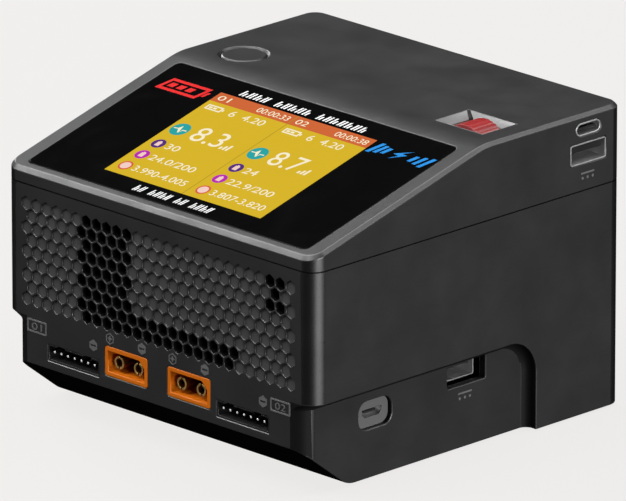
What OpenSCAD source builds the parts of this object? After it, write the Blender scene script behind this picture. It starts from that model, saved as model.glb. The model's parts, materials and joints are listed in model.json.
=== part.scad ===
// Two-channel balance battery charger with a built-in mains supply.
// Origin: on the ground, under the middle of the case. +Y to the back, +Z up.

/* [Case] */
// Width of the case across the side walls
case_w = 114; // [110:0.5:120]
// Depth of the case, front to back
case_d = 114; // [112:0.5:118]
// Height of the flat top above the ground
case_h = 83; // [82:0.5:86]
// Radius of the upright corners
corner_r = 4.5; // [3:0.5:5]
// Thickness of the moulded walls
wall = 2.5; // [2:0.1:2.6]
// Height of the joint between the housing and the top cover
seam_z = 62; // [61:0.5:62.5]
// Height of the step below which the lower body is narrower
step_z = 26.2; // [25.5:0.1:27]
// How far the lower body is set in on each side
side_inset = 3.75; // [3.5:0.05:4]
// Length of the set-in stretch, from the front to the rear legs
notch_len = 81.7; // [80:0.1:83]
// Radius of the arch where the set-in stretch meets a rear leg
notch_r = 9.5; // [6:0.5:10]
// Radius of the hollow between the set-in wall and what stands out over it
step_fillet = 2.4; // [1:0.1:3]
// Width of the bevel around the top
edge_bevel = 1; // [0.6:0.1:1.2]

/* [Slope] */
// Angle of the screen slope
slope_angle = 15; // [14:0.25:16]
// Run of the slope, from the front face to the ridge
slope_run = 62.5; // [60:0.5:64]
// Radius of the ridge between the slope and the flat top
ridge_r = 25; // [10:1:40]

/* [Base] */
// How far the rubber feet stand out below the base
foot_proud = 0.7; // [0.5:0.1:1]
// Height of the chamfer under the front face
chamfer_h = 12.65; // [11.5:0.05:13]
// Depth of the chamfer under the front face
chamfer_d = 16.35; // [15:0.05:17]
// Radius where the chamfer meets the floor
chamfer_r = 8; // [5:0.5:9]

/* [Grille] */
// Distance between the centres of neighbouring cells
cell_pitch = 3.76; // [3.7:0.01:3.8]
// Width of the web between two cells
cell_web = 0.55; // [0.4:0.05:0.7]
// Depth of the blind cells
cell_depth = 0.4; // [0.3:0.1:1]
// Thickness of the front panel
panel_t = 3; // [2.5:0.1:3.2]

/* [Screen] */
// Width of the glass
glass_w = 103.2; // [100:0.1:103.4]
// Length of the glass, along the slope
glass_l = 57.3; // [54:0.1:57.6]
// Distance from the front edge to the glass, along the slope
glass_gap = 3; // [2.9:0.1:4]
// Thickness of the glass
glass_t = 1.2; // [1:0.1:1.3]

/* [Controls] */
// Diameter of the round button's cap
button_dia = 12; // [11:0.1:12.2]
// How far the round button travels
button_travel = 0.7; // [0.4:0.1:0.8]
// Radius of the scroll wheel
wheel_r = 7.5; // [7:0.1:7.6]
// Width of the scroll wheel
wheel_w = 7.8; // [7:0.1:8]
// How far the scroll wheel clicks down
wheel_click = 0.5; // [0.3:0.1:0.6]

/* [Fan] */
// Side of the square fan frame
fan_size = 50; // [49:1:50]
// Depth of the fan frame
fan_depth = 15; // [14:1:15]
// Number of fan blades
blade_count = 7; // [5:1:9]

/* [Hidden] */
$fn = 64;

// Overshoot of a cut past the face that it opens
e = 1;

// Faces of the case
front_y = -case_d / 2;
back_y = case_d / 2;
side_x = case_w / 2;
base_z = foot_proud;
low_x = side_x - side_inset;
leg_y = front_y + notch_len;
inner_x = side_x - wall;
inner_low_x = low_x - wall;
inner_back_y = back_y - wall;
inner_front_y = front_y + wall;
floor_z = base_z + wall;
joint_gap = 0.15;

// Screen slope
slope_tan = tan(slope_angle);
slope_z = case_h - slope_run * slope_tan;
cover_wall = 2.6;
neck_h = 0.4;
neck_inset = 0.5;
ceiling_z = case_h - cover_wall;

// Chamfer under the front face
chamfer_a = atan(chamfer_h / chamfer_d);
chamfer_z = base_z + chamfer_h;
chamfer_y = front_y + chamfer_d;
chamfer_t = chamfer_r * tan(chamfer_a / 2);
chamfer_cy = chamfer_y + chamfer_t;

// Grille rows and columns
cell_rows = 9;
cell_cols = 27;
cell_mid_z = 43.95;
row_pitch = cell_pitch * sqrt(3) / 2;
cell_r = (cell_pitch - cell_web) / sqrt(3);

// Rear vent
vent_r = 22;

// Glass and screen, measured along the slope
glass_mid = glass_gap + glass_l / 2;
glass_r = 2;
glass_fit = 0.15;
glass_sink = 0.05;
tape_t = 0.3;
recess_t = glass_sink + glass_t + tape_t;
lcd_size = [61, 47];
lcd_mid = 31.4;
lcd_t = 2.6;

// Round button
button_x = -42;
button_y = 15.6;
button_gap = 0.25;
button_groove_r = 7;
button_flange_r = 7.3;
button_flange_t = 1.2;
button_top_z = case_h - 0.1;
button_flange_z = ceiling_z - 0.3 - button_flange_t;
button_low_gap = 0.7;

// Scroll wheel
wheel_x = 42;
wheel_y = 17.2;
wheel_z = case_h + 0.1 - wheel_r;
wheel_mouth = [17.4, 12.6];
wheel_slot = [12.4, 8.8];
wheel_funnel = 1.6;
axle_r = 1;
running_gap = 0.05;
arm_t = 1.5;
arm_r = 3;
arm_gap = 0.4;
arm_y = wheel_w / 2 + arm_gap;
carriage_w = 16;
carriage_front = -7;
carriage_back = 10.4;
carriage_z = wheel_z - wheel_r - 2.3;
carriage_t = 1.5;
wheel_dome_h = 2.6 + wheel_click;
bracket_gap = 0.4;
bracket_t = 1.2;
bracket_z = carriage_z - wheel_dome_h - bracket_t;
encoder_d = 4;

// Control board, hung under the flat top
control_z = 75.5;
control_x = 53;
control_y = [7, 53];
board_t = 1.5;
control_top = control_z + board_t;
control_posts = [[-20, 12], [20, 12], [-20, 48], [20, 48]];

// Front sockets
output_x = 11.62;
output_z = 20.94;
output_size = [15.9, 8.1];
output_len = 16;
pin_gap = 7.2;
pin_r = 1.75;
pin_wall = 0.6;
tail_r = 1.5;
balance_x = 31.4;
balance_z = 17.9;
balance_size = [19.3, 4.6];
balance_len = 9;
balance_pin_z = 18.28;
balance_count = 7;
balance_pitch = 2.5;
balance_pin = 0.64;

// Side sockets
usb_a_size = [13.1, 5.7];
usb_c_size = [9.2, 3.6];
usb_len = 14;
usb_c_len = 8;
usb_y = 43.6;
usb_c_z = 78.85;
usb_a_z = 72.3;
low_usb_y = 2.7;
low_usb_z = 20.9;
low_usb_sink = 3.9;
low_usb_hole = [14, 6.4];
micro_y = -30.6;
micro_z = 17.8;
micro_sink = 1.6;
micro_recess = [12, 7.8];
micro_size = [7.8, 3];

// Rear sockets
inlet_x = 28.5;
ac_z = 43;
ac_body = [27, 19.8];
ac_flange = [47.8, 22.5];
ac_screw = 20;
dc_z = 17;
dc_flange = [30, 12];
dc_screw = 11.5;
flange_t = 2.5;
flange_y = inner_back_y - flange_t;

// Fan
fan_x = -24;
fan_z = 31.5;
fan_bore_r = 23.5;
fan_hole = 20;
fan_y = inner_back_y - fan_depth;
hub_r = 11;
blade_r = 23;
shaft_r = 1;

// Screws
screw_r = 1.5;
screw_hole_r = 1.6;
screw_head_r = 2.9;
screw_head_t = 1.4;
sunk_r = 3.2;
sunk_t = 1.5;
small_screw_r = 1;
small_head_r = 1.9;
case_screw_at = [[-46.5, -33], [46.5, -33], [-46.5, 21], [46.5, 21]];
cover_screw_at = [[-49.2, -46], [49.2, -46], [-49.2, 47], [49.2, 47]];
case_boss_r = 3.5;
case_boss_top = 13;
case_screw_len = 10;
cover_boss_r = 3.5;
cover_boss_h = 6.5;
lug_z = 58;
feet_at = [[-36, -28], [36, -28], [-42, 45], [42, 45]];
foot_r = 5;
foot_sink = 1;

// Circuit boards
board_z = 13.6;
board_top = board_z + board_t;
board_half_w = 48;
main_board_y = [-50, 0];
psu_board_y = [4, 36];
main_holes = [[-38, -24], [38, -24], [-38, -4], [38, -4]];
psu_holes = [[-44, 8], [44, 8], [-44, 31], [44, 31]];
choke_at = [36, 22, board_top + 12.5];
choke_r = [5.5, 10];
choke_t = 8;
mosfet_h = 4.6;

// ---------- helpers ----------

// Extrudes an outline drawn in X and Z from depth y0 to depth y1
module front_slab(y0, y1) {
    translate([0, y1, 0])
        rotate([90, 0, 0])
            linear_extrude(y1 - y0)
                children();
}

// Extrudes an outline drawn in Y and Z from x0 to x1
module side_slab(x0, x1) {
    translate([x0, 0, 0])
        rotate([90, 0, 90])
            linear_extrude(x1 - x0)
                children();
}

// A block between two opposite corners
module block(low, high) {
    translate(low)
        cube(high - low);
}

// A rectangle with round corners, about the origin
module round_rect(size, r) {
    union() {
        square([size[0] - 2 * r, size[1]], center = true);
        square([size[0], size[1] - 2 * r], center = true);
        for (sx = [-1, 1], sy = [-1, 1])
            translate([sx * (size[0] / 2 - r), sy * (size[1] / 2 - r)])
                circle(r);
    }
}

// The case's outline from above, drawn in by an inset
module case_plan(half_w, inset = 0) {
    round_rect([2 * half_w - 2 * inset, case_d - 2 * inset], corner_r - inset);
}

// A cylinder along Y, from depth y0 to depth y1
module y_rod(x, z, r, y0, y1) {
    translate([x, y1, z])
        rotate([90, 0, 0])
            cylinder(r = r, h = y1 - y0);
}

// Places children on the slope: X across, Y up the slope, Z out of it
module on_slope() {
    translate([0, front_y, slope_z])
        rotate([slope_angle, 0, 0])
            children();
}

// Everything under the chamfer line, for cutting, seen from the side
module chamfer_outline() {
    far = 3;
    difference() {
        polygon([
            [front_y - far, -e],
            [front_y - far, chamfer_z + far * tan(chamfer_a)],
            [chamfer_y - chamfer_t * cos(chamfer_a), base_z + chamfer_t * sin(chamfer_a)],
            [chamfer_cy, base_z + chamfer_r],
            [chamfer_cy, -e]
        ]);
        translate([chamfer_cy, base_z + chamfer_r])
            circle(chamfer_r);
    }
}

// The inner face of the base cover, seen from the side
module base_inner_outline() {
    drop = wall / cos(chamfer_a);
    inner_r = chamfer_r - wall;
    inner_t = inner_r * tan(chamfer_a / 2);
    inner_y = chamfer_cy - inner_t;
    union() {
        difference() {
            polygon([
                [front_y - 20, chamfer_z + drop + 20 * tan(chamfer_a)],
                [inner_y - inner_t * cos(chamfer_a), floor_z + inner_t * sin(chamfer_a)],
                [inner_y, floor_z],
                [chamfer_cy, floor_z],
                [back_y + 5, floor_z],
                [back_y + 5, case_h],
                [front_y - 20, case_h]
            ]);
            polygon([
                [inner_y - inner_t * cos(chamfer_a), floor_z + inner_t * sin(chamfer_a)],
                [inner_y - inner_t, floor_z - inner_t],
                [chamfer_cy, floor_z - inner_t],
                [chamfer_cy, floor_z],
                [chamfer_cy, floor_z + inner_r]
            ]);
        }
        intersection() {
            translate([chamfer_cy, floor_z + inner_r])
                circle(inner_r);
            polygon([
                [inner_y - inner_t * cos(chamfer_a), floor_z + inner_t * sin(chamfer_a)],
                [inner_y - inner_t, floor_z - inner_t],
                [chamfer_cy, floor_z - inner_t],
                [chamfer_cy, floor_z + inner_r]
            ]);
        }
    }
}

// A hexagon cell standing on its point
module cell() {
    rotate(30)
        circle(cell_r, $fn = 6);
}

// Centre of a front grille cell, by row from the top and place in the row
function cell_x(row, place) =
    (place - (row % 2 == 1 ? (cell_cols + 1) / 2 : cell_cols / 2)) * cell_pitch;
function cell_z(row) = cell_mid_z + ((cell_rows + 1) / 2 - row) * row_pitch;
function row_cells(row) = row % 2 == 1 ? cell_cols : cell_cols - 1;

// Cells that go right through: a band on the left, a strip below, a few on the right
function is_open(row, place) =
    row == 9 ? place >= 7 && place <= 21 :
    row == 8 ? place >= 6 && place <= 21 :
    row % 2 == 1 ? (place >= 7 && place <= 11) || (row <= 3 && place >= 25 && place <= 26) :
    (place >= 6 && place <= 10) || (row == 2 && place == 25);

module front_cells(open) {
    for (row = [1 : cell_rows], place = [1 : row_cells(row)])
        if (is_open(row, place) == open)
            translate([cell_x(row, place), cell_z(row)])
                cell();
}

// Cells of the round vent behind the fan
module vent_cells() {
    half = ceil(vent_r / row_pitch);
    for (row = [-half : half], place = [-half : half]) {
        x = (place + (abs(row) % 2) / 2) * cell_pitch;
        z = row * row_pitch;
        if (norm([x, z]) < vent_r - cell_r)
            translate([fan_x + x, fan_z + z])
                cell();
    }
}

// A flat-headed screw along +Z with its head's face at z = 0
module screw(len) {
    cylinder(r = screw_head_r, h = screw_head_t);
    translate([0, 0, screw_head_t - 0.01])
        cylinder(r = screw_r, h = len);
}

module screw_slots(depth = 0.8) {
    for (turn = [0, 90])
        rotate(turn)
            translate([-1.8, -0.35, -e])
                cube([3.6, 0.7, e + depth]);
}

// A flat-headed screw with a cross recess, pointing along +Z
module cross_screw(len) {
    difference() {
        screw(len);
        screw_slots();
    }
}

// A sunk clearance hole for a flat-headed screw, along +Z
module sunk_hole(len) {
    translate([0, 0, -e])
        cylinder(r = sunk_r, h = sunk_t + e);
    cylinder(r = screw_hole_r, h = len);
}

// Runs children at the rear wall, with +Z pointing into the case
module into_back(x, z) {
    translate([x, back_y, z])
        rotate([90, 0, 0])
            children();
}

// ---------- casing ----------

// Material left in a corner by a hollow round, in the outline's own axes
module hollow_round() {
    root = 0.1;
    meet = 0.02;
    difference() {
        translate([-root, -step_fillet])
            square([step_fillet + root, step_fillet + root]);
        translate([step_fillet, -step_fillet])
            circle(step_fillet + meet);
    }
}

// Hollow round under the step and down the leg, on the right side
module step_rounds() {
    arch_y = leg_y - notch_r;
    arch_z = step_z - notch_r;
    corner_y = front_y + corner_r;
    translate([low_x, arch_y, step_z])
        rotate([90, 0, 0])
            linear_extrude(arch_y - corner_y)
                hollow_round();
    intersection() {
        translate([low_x - corner_r, corner_y, step_z])
            rotate_extrude()
                translate([corner_r, 0])
                    hollow_round();
        block([low_x - corner_r, front_y, 0], [side_x, corner_y, step_z]);
        translate([0, 0, base_z])
            linear_extrude(step_z - base_z)
                case_plan(side_x);
    }
    intersection() {
        translate([low_x, arch_y, arch_z])
            rotate([0, 90, 0])
                rotate_extrude()
                    translate([notch_r, 0])
                        mirror([1, -1])
                            hollow_round();
        block([low_x - e, arch_y, arch_z], [side_x, leg_y + e, step_z + e]);
    }
    translate([low_x, leg_y, base_z])
        linear_extrude(arch_z - base_z)
            hollow_round();
}

module housing_outer() {
    union() {
        for (side = [-1, 1])
            scale([side, 1, 1])
                step_rounds();
        translate([0, 0, step_z])
            linear_extrude(seam_z - step_z)
                case_plan(side_x);
        translate([0, 0, base_z])
            linear_extrude(step_z - base_z)
                case_plan(low_x);
        difference() {
            intersection() {
                translate([0, 0, base_z])
                    linear_extrude(step_z - base_z)
                        case_plan(side_x);
                block([-side_x, leg_y - notch_r, 0], [side_x, back_y, step_z]);
            }
            for (side = [-1, 1])
                scale([side, 1, 1])
                    side_slab(low_x, side_x + e)
                        notch_outline();
        }
    }
}

// The set-in stretch of one side, seen from the side
module notch_outline() {
    union() {
        translate([front_y - e, -e])
            square([leg_y - notch_r - front_y + e, step_z + e]);
        translate([leg_y - notch_r - e, -e])
            square([notch_r + e, step_z - notch_r + e]);
        translate([leg_y - notch_r, step_z - notch_r])
            circle(notch_r);
    }
}

module housing_cavity() {
    translate([0, 0, step_z + wall])
        linear_extrude(seam_z - step_z)
            case_plan(side_x, wall);
    block([-inner_low_x, inner_front_y, -e], [inner_low_x, inner_back_y, step_z + wall + e]);
    block([-inner_x, leg_y + wall, floor_z], [inner_x, inner_back_y, step_z + wall + e]);
    block([-(side_x - corner_r), front_y - e, step_z],
          [side_x - corner_r, inner_front_y + e, seam_z + e]);
    block([-(low_x - corner_r), front_y - e, -e], [low_x - corner_r, inner_front_y + e, step_z + e]);
}

module case_bosses() {
    for (at = case_screw_at) {
        translate([at[0], at[1], floor_z])
            cylinder(r = case_boss_r, h = case_boss_top - floor_z);
        low = [min(at[0], sign(at[0]) * inner_low_x), at[1] - 1, floor_z];
        high = [max(at[0], sign(at[0]) * inner_low_x), at[1] + 1, case_boss_top];
        block(low, high);
    }
}

module cover_lugs() {
    for (at = cover_screw_at) {
        translate([at[0], at[1], lug_z])
            cylinder(r = 4, h = seam_z - lug_z);
        low = [min(at[0], sign(at[0]) * inner_x), at[1] - 4, lug_z];
        high = [max(at[0], sign(at[0]) * inner_x), at[1] + 4, seam_z];
        block(low, high);
    }
}

module rear_cuts() {
    front_slab(inner_back_y - e, back_y + e)
        vent_cells();
    front_slab(inner_back_y - e, back_y + e) {
        translate([inlet_x, ac_z])
            square([ac_body[0] + 0.4, ac_body[1] + 0.4], center = true);
        translate([inlet_x, dc_z])
            square([output_size[0] + 0.4, output_size[1] + 0.4], center = true);
    }
    for (sx = [-1, 1], sz = [-1, 1])
        into_back(fan_x + sx * fan_hole, fan_z + sz * fan_hole)
            sunk_hole(wall + e);
    for (sx = [-1, 1]) {
        into_back(inlet_x + sx * ac_screw, ac_z)
            sunk_hole(wall + e);
        into_back(inlet_x + sx * dc_screw, dc_z)
            sunk_hole(wall + e);
    }
}

// Windows of the two sockets in the lower right wall
module side_windows() {
    side_slab(inner_low_x - e, side_x + e)
        translate([low_usb_y, low_usb_z])
            round_rect(low_usb_hole, 0.5);
    side_slab(low_x - micro_sink, side_x + e)
        translate([micro_y, micro_z])
            round_rect(micro_recess, 3);
    side_slab(inner_low_x - e, side_x)
        translate([micro_y, micro_z])
            square([micro_size[0] + 0.4, micro_size[1] + 0.4], center = true);
}

module main_housing() {
    color([0.19, 0.19, 0.19])
        difference() {
            union() {
                difference() {
                    housing_outer();
                    housing_cavity();
                }
                case_bosses();
                cover_lugs();
            }
            side_slab(-side_x - e, side_x + e)
                chamfer_outline();
            rear_cuts();
            side_windows();
            for (at = case_screw_at)
                translate([at[0], at[1], floor_z - e])
                    cylinder(r = screw_hole_r, h = case_boss_top - floor_z + e - 0.5);
            for (at = cover_screw_at)
                translate([at[0], at[1], lug_z - e])
                    cylinder(r = screw_hole_r, h = seam_z - lug_z + 2 * e);
        }
}

module front_panel() {
    panel_x = side_x - corner_r;
    low_panel_x = low_x - corner_r;
    color([0.2, 0.2, 0.2])
        difference() {
            front_slab(front_y, front_y + panel_t)
                union() {
                    translate([-panel_x, step_z])
                        square([2 * panel_x, seam_z - step_z]);
                    translate([-low_panel_x, chamfer_z])
                        square([2 * low_panel_x, step_z - chamfer_z + e]);
                }
            front_slab(front_y - e, front_y + cell_depth)
                front_cells(false);
            front_slab(front_y - e, front_y + panel_t + e)
                front_cells(true);
            front_slab(front_y - e, front_y + panel_t + e)
                for (side = [-1, 1]) {
                    translate([side * output_x, output_z])
                        round_rect([output_size[0] + 0.2, output_size[1] + 0.2], 0.9);
                    translate([side * balance_x, balance_z])
                        square(balance_size, center = true);
                }
        }
}

// The cover's side view, lowered by a drop
module cover_profile(drop) {
    ridge_y = front_y + slope_run;
    ridge_t = ridge_r * tan(slope_angle / 2);
    steps = 6;
    polygon(concat(
        [[front_y - 5, seam_z], [front_y - 5, slope_z - 5 * slope_tan - drop]],
        [for (i = [0 : steps])
            let (a = slope_angle * (1 - i / steps))
            [ridge_y + ridge_t - ridge_r * sin(a), case_h - drop - ridge_r * (1 - cos(a))]],
        [[back_y + 5, case_h - drop], [back_y + 5, seam_z]]
    ));
}

module cover_prism(inset, drop) {
    intersection() {
        translate([0, 0, seam_z + neck_h])
            linear_extrude(case_h)
                case_plan(side_x, inset);
        side_slab(-side_x - e, side_x + e)
            cover_profile(drop);
    }
}

// The cover's bevelled outer form
module cover_outer() {
    hull() {
        cover_prism(0, edge_bevel);
        cover_prism(edge_bevel, 0);
    }
}

module cover_cavity() {
    intersection() {
        translate([0, 0, seam_z - e])
            linear_extrude(case_h)
                case_plan(side_x, wall);
        side_slab(-side_x, side_x)
            polygon([
                [front_y, seam_z - e],
                [front_y, slope_z - cover_wall],
                [front_y + slope_run, ceiling_z],
                [back_y, ceiling_z],
                [back_y, seam_z - e]
            ]);
    }
}

module cover_bosses() {
    intersection() {
        union() {
            for (at = cover_screw_at)
                translate([at[0], at[1], seam_z])
                    cylinder(r = cover_boss_r, h = cover_boss_h);
            for (at = cover_screw_at) {
                low = [min(at[0], sign(at[0]) * (inner_x + 1)), at[1] - 1.5, seam_z];
                high = [max(at[0], sign(at[0]) * (inner_x + 1)), at[1] + 1.5, seam_z + cover_boss_h];
                block(low, high);
            }
            for (at = control_posts)
                translate([at[0], at[1], control_z + board_t])
                    cylinder(r = 2.5, h = ceiling_z - control_z);
        }
        side_slab(-side_x, side_x)
            translate([0, -1.5])
                cover_profile(0);
    }
}

module top_cover() {
    color([0.26, 0.26, 0.26])
        difference() {
            union() {
                difference() {
                    union() {
                        cover_outer();
                        translate([0, 0, seam_z])
                            linear_extrude(neck_h + 0.2)
                                case_plan(side_x, neck_inset);
                    }
                    cover_cavity();
                }
                cover_bosses();
            }
            on_slope()
                translate([0, glass_mid, -recess_t])
                    linear_extrude(5)
                        round_rect([glass_w + 2 * glass_fit, glass_l + 2 * glass_fit], glass_r);
            on_slope()
                translate([0, lcd_mid, -8])
                    linear_extrude(10)
                        square([lcd_size[0] + 0.6, lcd_size[1] + 0.6], center = true);
            translate([button_x, button_y, ceiling_z - e])
                cylinder(r = button_dia / 2 + button_gap, h = 5);
            translate([button_x, button_y, case_h - 0.75])
                cylinder(r1 = button_dia / 2 + button_gap, r2 = button_groove_r + 0.01, h = 0.76);
            translate([wheel_x, wheel_y, ceiling_z - e])
                linear_extrude(5)
                    square(wheel_mouth, center = true);
            side_slab(side_x - usb_c_len - e, side_x + e)
                translate([usb_y, usb_c_z])
                    round_rect([usb_c_size[0] + 0.2, usb_c_size[1] + 0.2], usb_c_size[1] / 2);
            side_slab(inner_x - e, side_x + e)
                translate([usb_y, usb_a_z])
                    square([usb_a_size[0] + 0.2, usb_a_size[1] + 0.2], center = true);
            for (at = cover_screw_at)
                translate([at[0], at[1], seam_z - e])
                    cylinder(r = screw_hole_r, h = 4.2);
            for (at = control_posts)
                translate([at[0], at[1], control_z])
                    cylinder(r = small_screw_r + 0.05, h = 4.6);
        }
}

module base_cover() {
    half_w = inner_low_x - joint_gap;
    front_half_w = low_x - corner_r;
    color([0.12, 0.12, 0.12])
        difference() {
            side_slab(-half_w, half_w)
                difference() {
                    translate([front_y, base_z])
                        square([case_d - wall - joint_gap, chamfer_h]);
                    base_inner_outline();
                }
            side_slab(-side_x, side_x)
                chamfer_outline();
            for (side = [-1, 1])
                scale([side, 1, 1])
                    block([front_half_w, front_y - e, 0], [side_x, inner_front_y + joint_gap, step_z]);
            for (at = case_screw_at)
                translate([at[0], at[1], base_z])
                    sunk_hole(wall + e);
            for (at = feet_at)
                translate([at[0], at[1], base_z - e])
                    cylinder(r = foot_r, h = foot_sink + e);
        }
}

module rubber_feet() {
    color([0.08, 0.08, 0.08])
        for (at = feet_at)
            translate([at[0], at[1], 0]) {
                cylinder(r1 = foot_r - 0.6, r2 = foot_r - 0.1, h = 0.5);
                translate([0, 0, 0.49])
                    cylinder(r = foot_r - 0.1, h = foot_proud + foot_sink - 0.49);
            }
}

module case_screws() {
    color([0.25, 0.25, 0.26])
        for (at = case_screw_at)
            translate([at[0], at[1], base_z])
                cross_screw(case_screw_len);
}

module cover_screws() {
    color([0.6, 0.6, 0.62])
        for (at = cover_screw_at)
            translate([at[0], at[1], lug_z - screw_head_t])
                cross_screw(7);
}

// ---------- screen ----------

module screen_glass() {
    color([0.03, 0.03, 0.03])
        on_slope()
            translate([0, glass_mid, -glass_sink - glass_t])
                linear_extrude(glass_t)
                    round_rect([glass_w, glass_l], glass_r - glass_fit);
}

module screen_tape() {
    color([0.1, 0.1, 0.1])
        on_slope()
            translate([0, 0, -recess_t])
                linear_extrude(tape_t)
                    difference() {
                        translate([0, glass_mid])
                            round_rect([glass_w - 1, glass_l - 1], glass_r - 0.5);
                        translate([0, lcd_mid])
                            square([lcd_size[0] + 1.4, lcd_size[1] + 1.4], center = true);
                    }
}

module lcd_panel() {
    color([0.84, 0.7, 0.04])
        on_slope()
            translate([0, lcd_mid, -glass_sink - glass_t - 0.05 - lcd_t])
                linear_extrude(lcd_t)
                    square(lcd_size, center = true);
}

// ---------- controls ----------

module round_button() {
    skirt_z = button_flange_z + button_flange_t;
    color([0.24, 0.24, 0.24])
        translate([button_x, button_y, 0])
            union() {
                translate([0, 0, button_flange_z])
                    cylinder(r = button_flange_r, h = button_flange_t);
                translate([0, 0, skirt_z - 0.01])
                    cylinder(r = button_dia / 2, h = button_top_z - skirt_z - 0.39);
                translate([0, 0, button_top_z - 0.41])
                    cylinder(r1 = button_dia / 2, r2 = button_dia / 2 - 0.4, h = 0.41);
            }
}

// Contact on the control board, just under the pressed button
module button_switch() {
    pressed_z = button_flange_z - button_travel - button_low_gap;
    color([0.75, 0.75, 0.72])
        translate([button_x, button_y, control_top])
            cylinder(r = 3, h = pressed_z - control_top);
}

module button_dome() {
    top = button_flange_z - control_top;
    color([0.6, 0.62, 0.64, 0.8])
        translate([button_x, button_y, control_top])
            rotate_extrude()
                polygon([
                    [5.2, 0], [6.6, 0], [6.6, 0.4],
                    [5, top], [3.2, top], [3.2, top - 0.5]
                ]);
}

module scroll_wheel() {
    groove_r = 0.45;
    groove_out = 0.3;
    grooves = 32;
    hollow = 1.2;
    rim_t = 1.8;
    nave_r = 2.4;
    color([0.78, 0.16, 0.16])
        difference() {
            y_rod(wheel_x, wheel_z, wheel_r, wheel_y - wheel_w / 2, wheel_y + wheel_w / 2);
            y_rod(wheel_x, wheel_z, axle_r, wheel_y - wheel_w, wheel_y + wheel_w);
            for (i = [0 : grooves - 1])
                translate([wheel_x, 0, wheel_z])
                    rotate([0, i * 360 / grooves, 0])
                        y_rod(wheel_r + groove_out, 0, groove_r, wheel_y - wheel_w, wheel_y + wheel_w);
            for (side = [-1, 1])
                translate([0, side * (wheel_w / 2 + 2 - hollow), 0])
                    difference() {
                        y_rod(wheel_x, wheel_z, wheel_r - rim_t, wheel_y - 2, wheel_y + 2);
                        y_rod(wheel_x, wheel_z, nave_r, wheel_y - 3, wheel_y + 3);
                    }
        }
}

module wheel_axle() {
    front = wheel_y - arm_y - arm_t;
    back = wheel_y + arm_y + arm_t + encoder_d - 0.5;
    color([0.72, 0.72, 0.74])
        y_rod(wheel_x, wheel_z, axle_r, front, back);
}

module wheel_carriage() {
    bore_r = axle_r + running_gap;
    color([0.16, 0.16, 0.17])
        difference() {
            union() {
                block([wheel_x - carriage_w / 2, wheel_y + carriage_front, carriage_z],
                      [wheel_x + carriage_w / 2, wheel_y + carriage_back, carriage_z + carriage_t]);
                for (side = [-1, 1]) {
                    mid = wheel_y + side * (arm_y + arm_t / 2);
                    block([wheel_x - arm_r, mid - arm_t / 2, carriage_z],
                          [wheel_x + arm_r, mid + arm_t / 2, wheel_z]);
                    y_rod(wheel_x, wheel_z, arm_r, mid - arm_t / 2, mid + arm_t / 2);
                }
            }
            y_rod(wheel_x, wheel_z, bore_r, wheel_y - 20, wheel_y + 20);
        }
}

module wheel_encoder() {
    low_y = wheel_y + arm_y + arm_t;
    color([0.2, 0.32, 0.22])
        difference() {
            block([wheel_x - 4.5, low_y, carriage_z + carriage_t],
                  [wheel_x + 4.5, low_y + encoder_d, wheel_z + arm_r]);
            y_rod(wheel_x, wheel_z, axle_r + running_gap, low_y - e, low_y + encoder_d - 0.4);
        }
}

module wheel_dome() {
    top = wheel_dome_h;
    color([0.6, 0.62, 0.64, 0.8])
        translate([wheel_x, wheel_y, carriage_z - top])
            rotate_extrude()
                polygon([
                    [3.2, 0], [4.6, 0], [4.6, 0.5],
                    [2.4, top], [0.8, top], [0.8, top - 0.7], [1.8, top - 0.7]
                ]);
}

// Open-topped box under the control board that guides the carriage
module wheel_bracket() {
    out = bracket_gap + bracket_t;
    low = [wheel_x - carriage_w / 2, wheel_y + carriage_front, bracket_z];
    high = [wheel_x + carriage_w / 2, wheel_y + carriage_back, control_z];
    color([0.3, 0.3, 0.32])
        difference() {
            block(low - [out, out, 0], high + [out, out, 0]);
            block(low - [bracket_gap, bracket_gap, -bracket_t], high + [bracket_gap, bracket_gap, e]);
        }
}

// Pale funnel around the wheel's slot
module wheel_surround() {
    rim = 0.2;
    mouth = [wheel_mouth[0] - 2 * rim, wheel_mouth[1] - 2 * rim];
    thin = 0.01;
    color([0.62, 0.62, 0.64])
        translate([wheel_x, wheel_y, 0])
            difference() {
                translate([0, 0, ceiling_z])
                    linear_extrude(cover_wall)
                        square([wheel_mouth[0] - 0.1, wheel_mouth[1] - 0.1], center = true);
                translate([0, 0, ceiling_z - e])
                    linear_extrude(cover_wall + e)
                        square(wheel_slot, center = true);
                hull() {
                    translate([0, 0, case_h - wheel_funnel])
                        linear_extrude(thin)
                            square(wheel_slot, center = true);
                    translate([0, 0, case_h])
                        linear_extrude(thin)
                            square(mouth, center = true);
                }
            }
}

module control_board() {
    opening = 0.6;
    half_w = carriage_w / 2 + opening;
    color([0.1, 0.28, 0.16])
        difference() {
            block([-control_x, control_y[0], control_z], [control_x, control_y[1], control_top]);
            block([wheel_x - half_w, wheel_y + carriage_front - opening, control_z - e],
                  [wheel_x + half_w, wheel_y + carriage_back + opening, control_top + e]);
            for (at = control_posts)
                translate([at[0], at[1], control_z - e])
                    cylinder(r = small_screw_r + 0.15, h = 4);
        }
}

// ---------- sockets ----------

// Cavity of an output socket: a rectangle with one corner cut off
module keyed_outline(size, cut) {
    w = size[0] / 2;
    h = size[1] / 2;
    polygon([[-w, -h], [w, -h], [w, h - cut], [w - cut, h], [-w, h]]);
}

module power_socket(x, z) {
    cavity = [output_size[0] - 2.6, output_size[1] - 2.4];
    back = front_y + output_len;
    difference() {
        union() {
            front_slab(front_y, back)
                translate([x, z])
                    round_rect(output_size, 0.8);
            front_slab(front_y + panel_t, front_y + panel_t + 1.5)
                translate([x, z])
                    square([output_size[0] + 2, output_size[1] + 2], center = true);
        }
        front_slab(front_y - e, back - 2.5)
            translate([x, z])
                keyed_outline(cavity, 2);
        for (side = [-1, 1])
            y_rod(x + side * pin_gap / 2, z, tail_r, back - 3, back + e);
    }
}

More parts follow.
